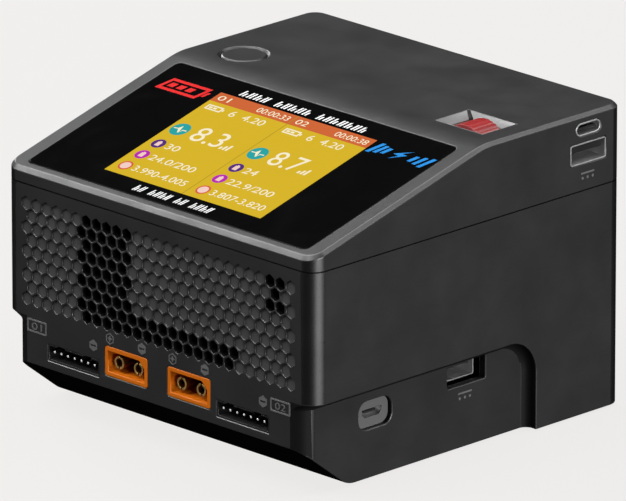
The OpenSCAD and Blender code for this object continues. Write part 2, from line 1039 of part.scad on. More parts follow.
// A hollow gold pin, split at its mouth, pointing along -Y
module split_pin(x, z, tip_y, root_y, tail_y) {
    slit = 0.4;
    split_len = 6;
    bore_len = 8;
    difference() {
        y_rod(x, z, pin_r, tip_y, root_y);
        y_rod(x, z, pin_r - pin_wall, tip_y - e, tip_y + bore_len);
        block([x - slit / 2, tip_y - e, z - pin_r - e], [x + slit / 2, tip_y + split_len, z + pin_r + e]);
    }
    y_rod(x, z, tail_r, root_y - 0.01, tail_y);
}

module output_socket_left() {
    color([0.8, 0.4, 0.12])
        power_socket(-output_x, output_z);
}

module output_socket_right() {
    color([0.8, 0.4, 0.12])
        power_socket(output_x, output_z);
}

module output_pins() {
    root = front_y + output_len - 2.5;
    color([0.85, 0.65, 0.25])
        for (x = [-output_x, output_x], side = [-1, 1])
            split_pin(x + side * pin_gap / 2, output_z, front_y + 1, root, root + 5);
}

// Where the pins of the balance socket at x stand
function balance_row(x) = [
    for (i = [0 : balance_count - 1]) x + (i - (balance_count - 1) / 2) * balance_pitch
];

module balance_socket(x) {
    shell = 0.5;
    notch = 3;
    difference() {
        front_slab(front_y + 0.2, front_y + balance_len)
            translate([x, balance_z])
                square([balance_size[0] - 0.1, balance_size[1] - 0.1], center = true);
        front_slab(front_y - e, front_y + balance_len - 2)
            translate([x, balance_z])
                square([balance_size[0] - 2 * shell, balance_size[1] - 2 * shell], center = true);
        for (side = [-1, 1])
            block([x + side * 5 - notch / 2, front_y - e, balance_z],
                  [x + side * 5 + notch / 2, front_y + panel_t, balance_z + balance_size[1]]);
        for (pin_x = balance_row(x))
            translate([pin_x, front_y + balance_len, balance_pin_z])
                cube([balance_pin, 6, balance_pin], center = true);
    }
}

module balance_socket_left() {
    color([0.1, 0.1, 0.1])
        balance_socket(-balance_x);
}

module balance_socket_right() {
    color([0.1, 0.1, 0.1])
        balance_socket(balance_x);
}

module balance_pins() {
    len = balance_len + 1;
    color([0.85, 0.85, 0.85])
        for (x = [-balance_x, balance_x], pin_x = balance_row(x))
            translate([pin_x, front_y + 0.5 + len / 2, balance_pin_z])
                cube([balance_pin, len, balance_pin], center = true);
}

// Metal shell of a USB socket whose mouth is at x_mouth, opening to +X
module usb_shell(y, z, size, r, x_mouth, len, t = 0.35) {
    difference() {
        side_slab(x_mouth - len, x_mouth)
            translate([y, z])
                round_rect(size, r);
        side_slab(x_mouth - len + 1, x_mouth + e)
            translate([y, z])
                round_rect([size[0] - 2 * t, size[1] - 2 * t], r - t);
    }
}

module usb_c_port() {
    color([0.8, 0.8, 0.82])
        usb_shell(usb_y, usb_c_z, usb_c_size, usb_c_size[1] / 2 - 0.01, side_x, usb_c_len, 0.45);
}

module usb_a_upper() {
    color([0.78, 0.78, 0.8])
        usb_shell(usb_y, usb_a_z, usb_a_size, 0.6, side_x, usb_len);
}

module usb_a_lower() {
    color([0.7, 0.7, 0.72])
        usb_shell(low_usb_y, low_usb_z, usb_a_size, 0.6, low_x - low_usb_sink, usb_len);
}

module micro_usb_port() {
    color([0.7, 0.7, 0.72])
        usb_shell(micro_y, micro_z, micro_size, 0.8, low_x - micro_sink, 5.5, 0.3);
}

module usb_tongues() {
    color([0.9, 0.9, 0.88]) {
        block([side_x - usb_c_len + 1, usb_y - 3.3, usb_c_z - 0.35],
              [side_x - 0.8, usb_y + 3.3, usb_c_z + 0.35]);
        block([side_x - usb_len + 1, usb_y - 5.5, usb_a_z + 0.2],
              [side_x - 1, usb_y + 5.5, usb_a_z + 2]);
        block([low_x - low_usb_sink - usb_len + 1, low_usb_y - 5.5, low_usb_z + 0.2],
              [low_x - low_usb_sink - 1, low_usb_y + 5.5, low_usb_z + 2]);
        block([low_x - micro_sink - 4.5, micro_y - 2.2, micro_z - 0.1],
              [low_x - micro_sink - 0.5, micro_y + 2.2, micro_z + 0.5]);
    }
}

// Mains inlet: a collar through the rear wall, its flange behind the wall
module ac_inlet() {
    cavity = [24.4, 17];
    cut = 4.5;
    depth = 15.5;
    back = back_y - depth - 3;
    w = cavity[0] / 2;
    h = cavity[1] / 2;
    color([0.09, 0.09, 0.09])
        difference() {
            union() {
                front_slab(back, back_y)
                    translate([inlet_x, ac_z])
                        square(ac_body, center = true);
                front_slab(flange_y, inner_back_y)
                    translate([inlet_x, ac_z])
                        round_rect(ac_flange, 4);
            }
            front_slab(back_y - depth, back_y + e)
                translate([inlet_x, ac_z])
                    polygon([[-w, h], [w, h], [w, cut - h], [w - cut, -h], [cut - w, -h], [-w, cut - h]]);
            for (side = [-1, 1])
                y_rod(inlet_x + side * ac_screw, ac_z, screw_r, flange_y - e, inner_back_y + e);
            for (at = [[-7, -2], [7, -2], [0, 2]])
                front_slab(back - e, back_y)
                    translate([inlet_x + at[0], ac_z + at[1]])
                        square([2, 4], center = true);
        }
}

module ac_inlet_pins() {
    color([0.82, 0.82, 0.8])
        for (at = [[-7, -2], [7, -2], [0, 2]])
            front_slab(back_y - 24, back_y - 5)
                translate([inlet_x + at[0], ac_z + at[1]])
                    square([2, 4], center = true);
}

// Low-voltage inlet: a collar through the rear wall, its flange behind the wall
module dc_inlet() {
    cavity = [output_size[0] - 2.6, output_size[1] - 2.4];
    back = back_y - output_len;
    color([0.85, 0.62, 0.12])
        difference() {
            union() {
                front_slab(back, back_y)
                    translate([inlet_x, dc_z])
                        round_rect(output_size, 0.8);
                front_slab(flange_y, inner_back_y)
                    translate([inlet_x, dc_z])
                        round_rect(dc_flange, 2);
            }
            front_slab(back + 2.5, back_y + e)
                translate([inlet_x, dc_z])
                    keyed_outline(cavity, 2);
            for (side = [-1, 1]) {
                y_rod(inlet_x + side * pin_gap / 2, dc_z, tail_r, back - e, back + 3);
                y_rod(inlet_x + side * dc_screw, dc_z, screw_r, flange_y - e, inner_back_y + e);
            }
        }
}

module dc_inlet_pins() {
    color([0.85, 0.65, 0.25])
        for (side = [-1, 1])
            translate([inlet_x + side * pin_gap / 2, 0, 0])
                rotate(180)
                    split_pin(0, dc_z, -back_y + 2, -back_y + output_len - 2.5, -back_y + output_len + 2.5);
}

// ---------- circuit boards and what is on them ----------

module circuit_board(reach_y, holes) {
    difference() {
        block([-board_half_w, reach_y[0], board_z], [board_half_w, reach_y[1], board_top]);
        for (at = holes)
            translate([at[0], at[1], board_z - e])
                cylinder(r = screw_hole_r, h = board_t + 2 * e);
    }
}

module main_board() {
    color([0.1, 0.3, 0.17])
        circuit_board(main_board_y, main_holes);
}

module psu_board() {
    color([0.1, 0.3, 0.17])
        circuit_board(psu_board_y, psu_holes);
}

module board_standoffs() {
    color([0.8, 0.66, 0.32])
        for (at = concat(main_holes, psu_holes))
            translate([at[0], at[1], floor_z])
                difference() {
                    cylinder(r = 3, h = board_z - floor_z, $fn = 6);
                    translate([0, 0, 3])
                        cylinder(r = screw_r, h = board_z);
                }
}

module board_screws() {
    color([0.6, 0.6, 0.62]) {
        for (at = concat(main_holes, psu_holes))
            translate([at[0], at[1], board_top + screw_head_t])
                rotate([180, 0, 0])
                    cross_screw(5);
        for (at = control_posts)
            translate([at[0], at[1], control_z - 1.2]) {
                cylinder(r = small_head_r, h = 1.2);
                cylinder(r = small_screw_r, h = 5.2);
            }
    }
}

// Insulating sheet that stands between the two boards
module divider_sheet() {
    sheet_y = 1.7;
    sheet_t = 0.5;
    color([0.85, 0.83, 0.74])
        block([-board_half_w, sheet_y, floor_z + 0.2], [33, sheet_y + sheet_t, 54]);
}

module bulk_capacitor() {
    can_r = 11;
    can_h = 33.5;
    color([0.12, 0.12, 0.16])
        translate([-32, 20, board_top])
            union() {
                cylinder(r = can_r, h = can_h);
                translate([0, 0, can_h - 0.01])
                    cylinder(r1 = can_r, r2 = can_r - 0.8, h = 0.8);
            }
}

module output_capacitors() {
    color([0.14, 0.14, 0.2])
        for (x = [-42, -33, -24, 24, 33, 42])
            translate([x, -41, board_top])
                cylinder(r = 4, h = 12);
}

module transformer_core() {
    color([0.2, 0.2, 0.21])
        translate([0, 21, board_top + 2])
            difference() {
                block([-16, -6, 0], [16, 6, 27]);
                for (side = [-1, 1])
                    scale([side, 1, 1])
                        block([5, -7, 5], [12, 7, 22]);
            }
}

module transformer_winding() {
    color([0.75, 0.5, 0.12])
        translate([0, 21, board_top + 2])
            difference() {
                block([-11.7, -11, 5.3], [11.7, 11, 21.7]);
                block([-5, -6, 5], [5, 6, 22]);
            }
}

module choke_core() {
    color([0.16, 0.3, 0.2])
        translate(choke_at)
            rotate([90, 0, 0])
                difference() {
                    cylinder(r = choke_r[1], h = choke_t, center = true);
                    cylinder(r = choke_r[0], h = choke_t + e, center = true);
                }
}

module choke_winding() {
    turns = 7;
    turn_angle = 18;
    wire_t = 1.2;
    wire_w = 1.05;
    core_w = choke_r[1] - choke_r[0];
    hole = [core_w + 0.12, 4, choke_t + 0.1];
    color([0.72, 0.38, 0.16])
        translate(choke_at)
            rotate([90, 0, 0])
                for (side = [0, 180], i = [0 : turns - 1])
                    rotate(side + (i - (turns - 1) / 2) * turn_angle)
                        translate([(choke_r[0] + choke_r[1]) / 2, 0, 0])
                            difference() {
                                cube([core_w + 2 * wire_t, wire_w, choke_t + 2 * wire_t], center = true);
                                cube(hole, center = true);
                            }
}

module power_inductors() {
    color([0.3, 0.3, 0.31])
        for (x = [-27, -9, 9, 27])
            translate([x, -29, board_top])
                union() {
                    translate([-6, -5.5, 0])
                        cube([12, 11, 7]);
                    translate([0, 0, 6.99])
                        cylinder(r = 4.4, h = 0.5);
                }
}

// Finned block that lies on the transistors
module heatsink() {
    fins = 15;
    pitch = 5.5;
    fin = [1.2, 17.5, 26];
    plate_t = 3.4;
    front = -22;
    low = board_top + mosfet_h;
    color([0.72, 0.73, 0.75])
        union() {
            block([-40, front, low], [40, front + fin[1], low + plate_t]);
            for (i = [0 : fins - 1])
                translate([(i - (fins - 1) / 2) * pitch - fin[0] / 2, front, low + plate_t - 0.1])
                    cube(fin);
        }
}

module mosfets() {
    color([0.13, 0.13, 0.13])
        for (x = [-27, -16, -5, 6, 17, 28])
            block([x - 3.5, -17, board_top], [x + 3.5, -9, board_top + mosfet_h]);
}

module rectifier() {
    color([0.12, 0.12, 0.12])
        difference() {
            block([12, 5.5, board_top + 3], [32, 9, board_top + 17]);
            y_rod(22, board_top + 14, 1.6, 5, 11);
        }
}

module fuse() {
    len = 18;
    cap_len = 4;
    left = -21;
    color([0.85, 0.87, 0.88])
        translate([0, 6.5, board_top + 3.2])
            rotate([0, 90, 0])
                union() {
                    translate([0, 0, left])
                        cylinder(r = 2.3, h = len);
                    for (x = [left, left + len - cap_len])
                        translate([0, 0, x])
                            cylinder(r = 2.6, h = cap_len);
                }
}

// ---------- fan ----------

module fan_frame() {
    strut_t = 2;
    half = fan_size / 2;
    tube_r = 2.6;
    color([0.07, 0.07, 0.07])
        difference() {
            union() {
                difference() {
                    front_slab(fan_y, inner_back_y)
                        translate([fan_x, fan_z])
                            round_rect([fan_size, fan_size], 4);
                    y_rod(fan_x, fan_z, fan_bore_r, fan_y - e, inner_back_y + e);
                }
                y_rod(fan_x, fan_z, hub_r, fan_y, fan_y + strut_t);
                y_rod(fan_x, fan_z, tube_r, fan_y, fan_y + 11);
                for (turn = [45 : 90 : 315])
                    translate([fan_x, 0, fan_z])
                        rotate([0, turn, 0])
                            block([hub_r - 1, fan_y, -1.25], [half - 0.5, fan_y + strut_t, 1.25]);
            }
            y_rod(fan_x, fan_z, shaft_r + running_gap, fan_y + 1, inner_back_y);
            for (sx = [-1, 1], sz = [-1, 1])
                y_rod(fan_x + sx * fan_hole, fan_z + sz * fan_hole, screw_r, fan_y - e, inner_back_y + e);
        }
}

// Coils on a laminated cross, around the bearing tube
module fan_stator() {
    color([0.7, 0.36, 0.15])
        difference() {
            union() {
                y_rod(fan_x, fan_z, 4, fan_y + 2.4, fan_y + 9.4);
                for (turn = [0 : 90 : 270])
                    translate([fan_x, 0, fan_z])
                        rotate([0, turn, 0])
                            block([0, fan_y + 3, -2.4], [8.4, fan_y + 8.8, 2.4]);
            }
            y_rod(fan_x, fan_z, 2.6, fan_y, inner_back_y);
        }
}

module fan_rotor() {
    cup_t = 1.2;
    front = fan_y + 2.6;
    back = inner_back_y - 1;
    pitch_angle = 38;
    color([0.09, 0.09, 0.09])
        union() {
            difference() {
                y_rod(fan_x, fan_z, hub_r, front, back);
                y_rod(fan_x, fan_z, hub_r - cup_t, front - e, back - cup_t);
            }
            difference() {
                y_rod(fan_x, fan_z, 2.2, back - 2.6, back - cup_t + 0.1);
                y_rod(fan_x, fan_z, shaft_r, front, back - cup_t);
            }
            intersection() {
                for (i = [0 : blade_count - 1])
                    translate([fan_x, (front + back) / 2, fan_z])
                        rotate([0, i * 360 / blade_count, 0])
                            rotate([pitch_angle, 0, 0])
                                translate([hub_r - 0.4, -0.6, -10])
                                    cube([14, 1.2, 20]);
                y_rod(fan_x, fan_z, blade_r, front + 0.3, back - 0.3);
            }
        }
}

module fan_shaft() {
    color([0.75, 0.75, 0.77])
        y_rod(fan_x, fan_z, shaft_r, fan_y + 1.6, inner_back_y - 2.2);
}

module fan_screws() {
    color([0.25, 0.25, 0.26])
        for (sx = [-1, 1], sz = [-1, 1])
            into_back(fan_x + sx * fan_hole, fan_z + sz * fan_hole)
                cross_screw(10);
}

module inlet_screws() {
    color([0.25, 0.25, 0.26])
        for (sx = [-1, 1]) {
            into_back(inlet_x + sx * ac_screw, ac_z)
                cross_screw(4);
            into_back(inlet_x + sx * dc_screw, dc_z)
                cross_screw(4);
        }
}

// ---------- the assembly ----------

main_housing();
front_panel();
top_cover();
base_cover();
rubber_feet();
case_screws();
cover_screws();
screen_glass();
screen_tape();
lcd_panel();
round_button();
button_dome();
button_switch();
scroll_wheel();
wheel_axle();
wheel_carriage();
wheel_encoder();
wheel_dome();
wheel_bracket();
wheel_surround();
control_board();
output_socket_left();
output_socket_right();
output_pins();
balance_socket_left();
balance_socket_right();
balance_pins();
usb_c_port();
usb_a_upper();
usb_a_lower();
micro_usb_port();
usb_tongues();
ac_inlet();
ac_inlet_pins();
dc_inlet();
dc_inlet_pins();
main_board();
psu_board();
divider_sheet();
bulk_capacitor();
output_capacitors();
transformer_core();
transformer_winding();
choke_core();
choke_winding();
power_inductors();
heatsink();
mosfets();
rectifier();
fuse();
board_standoffs();
board_screws();
fan_frame();
fan_stator();
fan_rotor();
fan_shaft();
fan_screws();
inlet_screws();
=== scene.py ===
import json
import math

import bmesh
import bpy
from mathutils import Matrix, Vector
from mathutils.geometry import delaunay_2d_cdt

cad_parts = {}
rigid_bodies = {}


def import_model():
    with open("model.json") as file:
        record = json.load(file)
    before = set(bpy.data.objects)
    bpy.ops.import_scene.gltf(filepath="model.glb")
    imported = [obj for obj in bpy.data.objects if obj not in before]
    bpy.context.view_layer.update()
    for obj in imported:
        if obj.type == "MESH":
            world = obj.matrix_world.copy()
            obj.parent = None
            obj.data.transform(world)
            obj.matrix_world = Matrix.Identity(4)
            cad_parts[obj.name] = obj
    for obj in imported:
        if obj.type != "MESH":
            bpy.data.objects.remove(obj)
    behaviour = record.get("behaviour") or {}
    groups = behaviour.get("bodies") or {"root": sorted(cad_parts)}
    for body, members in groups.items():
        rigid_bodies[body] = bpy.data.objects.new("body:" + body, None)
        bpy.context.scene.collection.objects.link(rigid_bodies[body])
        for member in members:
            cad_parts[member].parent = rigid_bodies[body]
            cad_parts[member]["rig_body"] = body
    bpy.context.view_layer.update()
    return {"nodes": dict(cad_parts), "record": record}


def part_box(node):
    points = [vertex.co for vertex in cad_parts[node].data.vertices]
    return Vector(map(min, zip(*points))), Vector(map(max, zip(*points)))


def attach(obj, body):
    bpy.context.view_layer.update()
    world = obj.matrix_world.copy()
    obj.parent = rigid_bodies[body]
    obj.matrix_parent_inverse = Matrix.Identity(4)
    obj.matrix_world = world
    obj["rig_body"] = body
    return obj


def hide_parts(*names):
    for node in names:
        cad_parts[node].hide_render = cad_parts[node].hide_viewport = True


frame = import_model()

MM = 0.001
NODES = frame["nodes"]

# ---------- places, from the frame ----------

CASE_LOW, CASE_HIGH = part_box("top_cover")
FRONT = CASE_LOW.y
BACK = CASE_HIGH.y
SIDE = CASE_HIGH.x
SEAM = CASE_LOW.z
LOW_SIDE = SIDE - 3.75 * MM
STEP = 26.2 * MM
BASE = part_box("base_cover")[0].z
CORNER_R = 4.5 * MM

# Screen slope: its angle, and the height where it meets the front face
SLOPE_ANGLE = math.radians(15)
SLOPE_Z = 66.25 * MM
SLOPE = Matrix.Translation((0, FRONT, SLOPE_Z)) @ Matrix.Rotation(SLOPE_ANGLE, 4, "X")


# ---------- node trees ----------

class Shade:
    """A material with one Principled shader, and short calls for the nodes that feed it."""

    def __init__(self, name, **values):
        self.material = bpy.data.materials.new(name)
        self.material.use_nodes = True
        self.tree = self.material.node_tree
        self.shader = self.tree.nodes["Principled BSDF"]
        self.where = self.add("ShaderNodeTexCoord").outputs["Object"]
        for key, value in values.items():
            self.shader.inputs[key.replace("_", " ")].default_value = value

    def add(self, kind, **settings):
        node = self.tree.nodes.new(kind)
        for key, value in settings.items():
            setattr(node, key, value)
        return node

    def put(self, socket, value):
        if isinstance(value, bpy.types.NodeSocket):
            self.tree.links.new(value, socket)
        elif value is not None:
            socket.default_value = value

    def feed(self, name, value):
        self.put(self.shader.inputs[name], value)

    def stretched(self, x, y, z):
        """Object coordinates scaled by axis."""
        node = self.add("ShaderNodeMapping")
        self.put(node.inputs["Vector"], self.where)
        node.inputs["Scale"].default_value = (x, y, z)
        return node.outputs["Vector"]

    def noise(self, size, detail=2.0, rough=0.5, where=None, twist=0.0):
        """Noise whose features are about size metres across."""
        node = self.add("ShaderNodeTexNoise")
        self.put(node.inputs["Vector"], where or self.where)
        node.inputs["Scale"].default_value = 1.0 / size
        node.inputs["Detail"].default_value = detail
        node.inputs["Roughness"].default_value = rough
        node.inputs["Distortion"].default_value = twist
        return node.outputs["Fac"]

    def cells(self, size, feature="F1", where=None):
        node = self.add("ShaderNodeTexVoronoi", feature=feature)
        self.put(node.inputs["Vector"], where or self.where)
        node.inputs["Scale"].default_value = 1.0 / size
        return node.outputs["Distance"]

    def span(self, value, low, high, start=0.0, end=1.0):
        """value from start..end mapped to low..high."""
        node = self.add("ShaderNodeMapRange")
        self.put(node.inputs["Value"], value)
        node.inputs["From Min"].default_value = start
        node.inputs["From Max"].default_value = end
        node.inputs["To Min"].default_value = low
        node.inputs["To Max"].default_value = high
        return node.outputs["Result"]

    def mix(self, share, a, b):
        """Colour a where share is 0, b where it is 1."""
        node = self.add("ShaderNodeMix", data_type="RGBA")
        self.put(node.inputs["Factor"], share)
        self.put(node.inputs[6], rgba(a) if not isinstance(a, bpy.types.NodeSocket) else a)
        self.put(node.inputs[7], rgba(b) if not isinstance(b, bpy.types.NodeSocket) else b)
        return node.outputs[2]

    def maths(self, operation, a, b=None):
        node = self.add("ShaderNodeMath", operation=operation)
        self.put(node.inputs[0], a)
        self.put(node.inputs[1], b)
        return node.outputs["Value"]

    def bump(self, height, depth, strength=1.0, under=None):
        """A bump of depth metres, on top of the bump given as under."""
        node = self.add("ShaderNodeBump")
        node.inputs["Strength"].default_value = strength
        node.inputs["Distance"].default_value = depth
        self.put(node.inputs["Height"], height)
        self.put(node.inputs["Normal"], under)
        return node.outputs["Normal"]


def rgba(colour):
    return (*colour[:3], 1.0)


def lighter(colour, share):
    return tuple(min(1.0, c * share) for c in colour)


def hairlines(s, length, width, amount):
    """Fine handling scratches, as a 0..1 mask: long thin noise, cut off high."""
    fine = s.noise(width, 1.0, where=s.stretched(1, width / length, 0.7))
    return s.span(fine, 0.0, amount, 0.66, 0.74)


def plastic(name, colour, rough, grain=0.35 * MM, depth=0.006 * MM, specular=0.5, edge=False,
            bend=1.5, uneven=0.04):
    """Moulded plastic: spark-eroded grain, slow colour and gloss changes, faint scratches."""
    s = Shade(name, Specular_IOR_Level=specular, IOR=bend)
    cloud = s.noise(14 * MM, 3.0)
    pores = s.noise(grain, 3.0, 0.6)
    base = s.mix(cloud, lighter(colour, 0.9), lighter(colour, 1.1))
    shine = s.span(cloud, rough - uneven, rough + uneven, 0.3, 0.7)
    # An edge copy lightens the colour further in patches: painted highlight along rounded edges and rims,
    # with patchy wear.
    if edge:
        wear_and_highlight = s.span(s.noise(5 * MM, 4.0), 0.0, 1.0, 0.45, 0.75)
        base = s.mix(wear_and_highlight, base, lighter(colour, 1.5))
    else:
        lines = hairlines(s, 9 * MM, 0.12 * MM, 0.1)
        shine = s.maths("SUBTRACT", shine, lines)
    s.feed("Base Color", base)
    s.feed("Roughness", shine)
    s.feed("Normal", s.bump(pores, depth))
    return s.material


def metal(name, colour, rough, brush=(1, 1, 0.05), grain=0.12 * MM, depth=0.003 * MM, share=1.0):
    """Metal with fine brushing, small stains and a plated sheen. A low share is dull plating."""
    s = Shade(name, Metallic=share)
    strokes = s.noise(grain, 2.0, where=s.stretched(*brush))
    stain = s.noise(3 * MM, 4.0)
    s.feed("Base Color", s.mix(stain, lighter(colour, 0.82), lighter(colour, 1.06)))
    s.feed("Roughness", s.span(strokes, rough - 0.07, rough + 0.1, 0.3, 0.7))
    s.feed("Normal", s.bump(strokes, depth))
    return s.material


def lit(name, colour, strength=1.0, backing=(0.01, 0.01, 0.01)):
    """A lit part of the display, under its glossy cover: faint rows of display dots."""
    s = Shade(name, Roughness=0.12, Specular_IOR_Level=0.3, Emission_Strength=strength)
    s.feed("Base Color", rgba(backing))
    dots = s.cells(0.16 * MM)
    glow = s.noise(20 * MM, 1.0)
    even = s.mix(s.span(dots, 0.0, 0.05), colour, lighter(colour, 0.8))
    s.feed("Emission Color", s.mix(s.span(glow, 0.0, 0.12), even, lighter(colour, 0.7)))
    return s.material


def ink(name, colour):
    """Screen-printed ink behind the glass: slightly uneven, glossy."""
    s = Shade(name, Roughness=0.2, Specular_IOR_Level=0.4)
    speck = s.noise(0.3 * MM, 2.0)
    s.feed("Base Color", s.mix(speck, lighter(colour, 0.92), colour))
    s.feed("Roughness", s.span(speck, 0.16, 0.28))
    return s.material


SHELL = (0.019, 0.019, 0.0195)
# Near-black: painted shade in the gap under the cover, under the side steps, in the grille's through holes,
# along the panel's edges and on the base cover.
SHELL_SHADE = (0.004, 0.004, 0.0042)
MATERIALS = {}
SLOTS = {part["node"]: part["material_slot"] for part in frame["record"]["subparts"]}


def make_materials():
    m = MATERIALS
    m["shell"] = plastic("shell", SHELL, 0.41, specular=0.5)
    # Edge copy of the shell, 1.3 times lighter and glossier: painted highlight on rounded edges and rims.
    m["shell_edge_highlight"] = plastic("shell_edge_highlight", lighter(SHELL, 1.3), 0.33, specular=0.9, edge=True)
    # Corner copy with its colour darkened to 0.12 of the shell: painted shade on the upright corners, under
    # a stronger gloss.
    m["shell_corner_shaded"] = plastic("shell_corner_shaded", lighter(SHELL, 0.12), 0.31, specular=0.9, bend=2.0,
                                uneven=0.01)
    # Near-black shell: painted shade.
    m["shell_low"] = plastic("shell_low", SHELL_SHADE, 0.6, specular=0.15)
    # Blind cell floors 2.5 times lighter than the shell: painted light against the shade in the cells.
    m["cell_floor_painted_light"] = plastic("cell_floor_painted_light", lighter(SHELL, 2.5), 0.45)
    m["port_face"] = plastic("port_face", (0.1, 0.1, 0.1), 0.5)
    # Near-black: painted shade in the far corner of the wheel's funnel.
    m["funnel_painted_shade"] = plastic("funnel_painted_shade", (0.012, 0.012, 0.012), 0.6, specular=0.2)
    m["black_plastic"] = plastic("black_plastic", (0.012, 0.012, 0.012), 0.42)
    m["grey_plastic"] = plastic("grey_plastic", (0.1, 0.1, 0.11), 0.5)
    m["pale_plastic"] = plastic("pale_plastic", (0.16, 0.16, 0.16), 0.42)
    m["green_plastic"] = plastic("green_plastic", (0.03, 0.1, 0.05), 0.5)
    m["white_plastic"] = plastic("white_plastic", (0.62, 0.62, 0.6), 0.4)
    m["orange_plastic"] = plastic("orange_plastic", (0.54, 0.125, 0.004), 0.42, grain=0.5 * MM, specular=0.3)
    # Darker red copy of the orange: painted shade at the back of the socket insides.
    m["orange_shaded"] = plastic("orange_shaded", (0.34, 0.016, 0.002), 0.5, grain=0.5 * MM, specular=0.2)
    m["yellow_plastic"] = plastic("yellow_plastic", (0.68, 0.36, 0.02), 0.38, grain=0.5 * MM)
    m["red_plastic"] = plastic("red_plastic", (0.24, 0.009, 0.01), 0.36, grain=0.5 * MM, specular=0.9)
    m["rubber"] = plastic("rubber", (0.02, 0.02, 0.02), 0.75, grain=0.2 * MM, depth=0.02 * MM, specular=0.3)
    m["silicone"] = plastic("silicone", (0.4, 0.42, 0.44), 0.6)
    m["foam"] = plastic("foam", (0.03, 0.03, 0.03), 0.85, grain=0.2 * MM, depth=0.04 * MM)
    m["mark"] = plastic("mark", (0.11, 0.11, 0.11), 0.42)
    m["sheet"] = plastic("sheet", (0.7, 0.68, 0.58), 0.4)
    m["capacitor"] = plastic("capacitor", (0.02, 0.02, 0.05), 0.3)
    m["ferrite"] = plastic("ferrite", (0.05, 0.05, 0.055), 0.6, grain=0.25 * MM, depth=0.02 * MM)
    m["tape"] = plastic("tape", (0.6, 0.35, 0.03), 0.3)
    m["package"] = plastic("package", (0.02, 0.02, 0.02), 0.55)
    m["steel"] = metal("steel", (0.62, 0.62, 0.63), 0.3)
    m["black_steel"] = metal("black_steel", (0.06, 0.06, 0.065), 0.4)
    m["tin"] = metal("tin", (0.78, 0.78, 0.77), 0.24)
    m["port_metal"] = metal("port_metal", (0.66, 0.66, 0.66), 0.42, share=0.9)
    # Pale ends of the balance pins: painted highlight.
    m["pin_metal_highlight"] = metal("pin_metal_highlight", (0.95, 0.95, 0.93), 0.45, share=0.35)
    m["gold"] = metal("gold", (0.95, 0.66, 0.24), 0.28, share=0.8)
    # Dark red-brown sides of the gold pins: painted shade, with a painted reflection of the orange socket.
    m["gold_painted_shade"] = metal("gold_painted_shade", (0.42, 0.16, 0.03), 0.34)
    m["brass"] = metal("brass", (0.72, 0.52, 0.2), 0.32)
    m["copper"] = metal("copper", (0.75, 0.3, 0.12), 0.3)
    m["aluminium"] = metal("aluminium", (0.72, 0.73, 0.74), 0.35, brush=(0.05, 1, 1))
    m["board"] = board_material()
    m["glass"] = glass_material()
    m["lcd"] = lit("lcd", (0.68, 0.45, 0.004))
    m["lcd_bar"] = lit("lcd_bar", (0.62, 0.12, 0.022))
    m["lcd_text"] = lit("lcd_text", (0.93, 0.85, 0.6))
    m["lcd_line"] = lit("lcd_line", (0.42, 0.26, 0.003))
    m["lcd_teal"] = lit("lcd_teal", (0.005, 0.36, 0.36))
    m["lcd_violet"] = lit("lcd_violet", (0.075, 0.01, 0.19))
    m["lcd_magenta"] = lit("lcd_magenta", (0.47, 0.006, 0.43))
    m["lcd_coral"] = lit("lcd_coral", (0.7, 0.1, 0.035))
    m["lcd_pale"] = lit("lcd_pale", (0.9, 0.62, 0.55))
    m["ink_white"] = ink("ink_white", (0.62, 0.62, 0.62))
    m["ink_red"] = ink("ink_red", (0.48, 0.012, 0.012))
    m["ink_blue"] = ink("ink_blue", (0.01, 0.16, 0.44))


def board_material():
    """Green solder mask over copper traces."""
    s = Shade("board", Roughness=0.35)
    run = s.cells(2.2 * MM, "DISTANCE_TO_EDGE", s.stretched(1, 1, 0.01))
    trace = s.span(run, 1.0, 0.0, 0.02, 0.05)
    s.feed("Base Color", s.mix(trace, (0.012, 0.085, 0.035), (0.03, 0.17, 0.07)))
    s.feed("Roughness", s.span(s.noise(1 * MM), 0.3, 0.45))
    s.feed("Normal", s.bump(trace, 0.03 * MM))
    return s.material


def glass_material():
    """Cover glass printed black behind, with faint smears on the polished face."""
    s = Shade("glass", Specular_IOR_Level=0.04, IOR=1.5)
    smear = s.noise(16 * MM, 3.0, 0.6, twist=1.0)
    s.feed("Base Color", s.mix(smear, (0.0015, 0.0015, 0.0016), (0.003, 0.003, 0.0032)))
    s.feed("Roughness", s.span(smear, 0.05, 0.16, 0.4, 0.75))
    s.feed("Normal", s.bump(s.noise(30 * MM, 1.0), 0.002 * MM))
    return s.material


make_materials()


# ---------- meshes ----------

def new_object(name, mesh, material, body="root", slot=None, instead_of=()):
    """A piece that rides on a body, and may stand for CAD nodes."""
    piece = bpy.data.objects.new(name, mesh)
    bpy.context.scene.collection.objects.link(piece)
    for each in material if isinstance(material, list) else [material]:
        piece.data.materials.append(MATERIALS[each])
    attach(piece, body)
    if instead_of:
        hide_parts(*instead_of)
    return piece


def from_bmesh(name, bm, material, **settings):
    mesh = bpy.data.meshes.new(name)
    bmesh.ops.recalc_face_normals(bm, faces=bm.faces)
    bm.to_mesh(mesh)
    bm.free()
    return new_object(name, mesh, material, **settings)


def smooth(piece, width=0.0, segments=2, edge_slot=-1):
    """Rounds the edges marked with a bevel weight, and shades the piece as one surface."""
    if width:
        bevel = piece.modifiers.new("round", "BEVEL")
        bevel.limit_method = "WEIGHT"
        bevel.width = width
        bevel.segments = segments
        bevel.use_clamp_overlap = False
        bevel.miter_outer = "MITER_ARC"
        bevel.material = edge_slot
    for face in piece.data.polygons:
        face.use_smooth = True
    normals = piece.modifiers.new("normals", "WEIGHTED_NORMAL")
    normals.keep_sharp = True
    normals.weight = 70
    return piece


def mark_edges(bm, least, share, rounded):
    """Marks each convex sharp edge to be rounded, and keeps the other sharp edges sharp."""
    weight = bm.edges.layers.float.new("bevel_weight_edge")
    for edge in bm.edges:
        if len(edge.link_faces) != 2 or edge.calc_face_angle(0.0) < least:
            continue
        middle = (edge.verts[0].co + edge.verts[1].co) / 2
        part = share(middle) if share else 1.0
        if rounded and edge.is_convex and part:
            edge[weight] = part
        else:
            edge.smooth = False


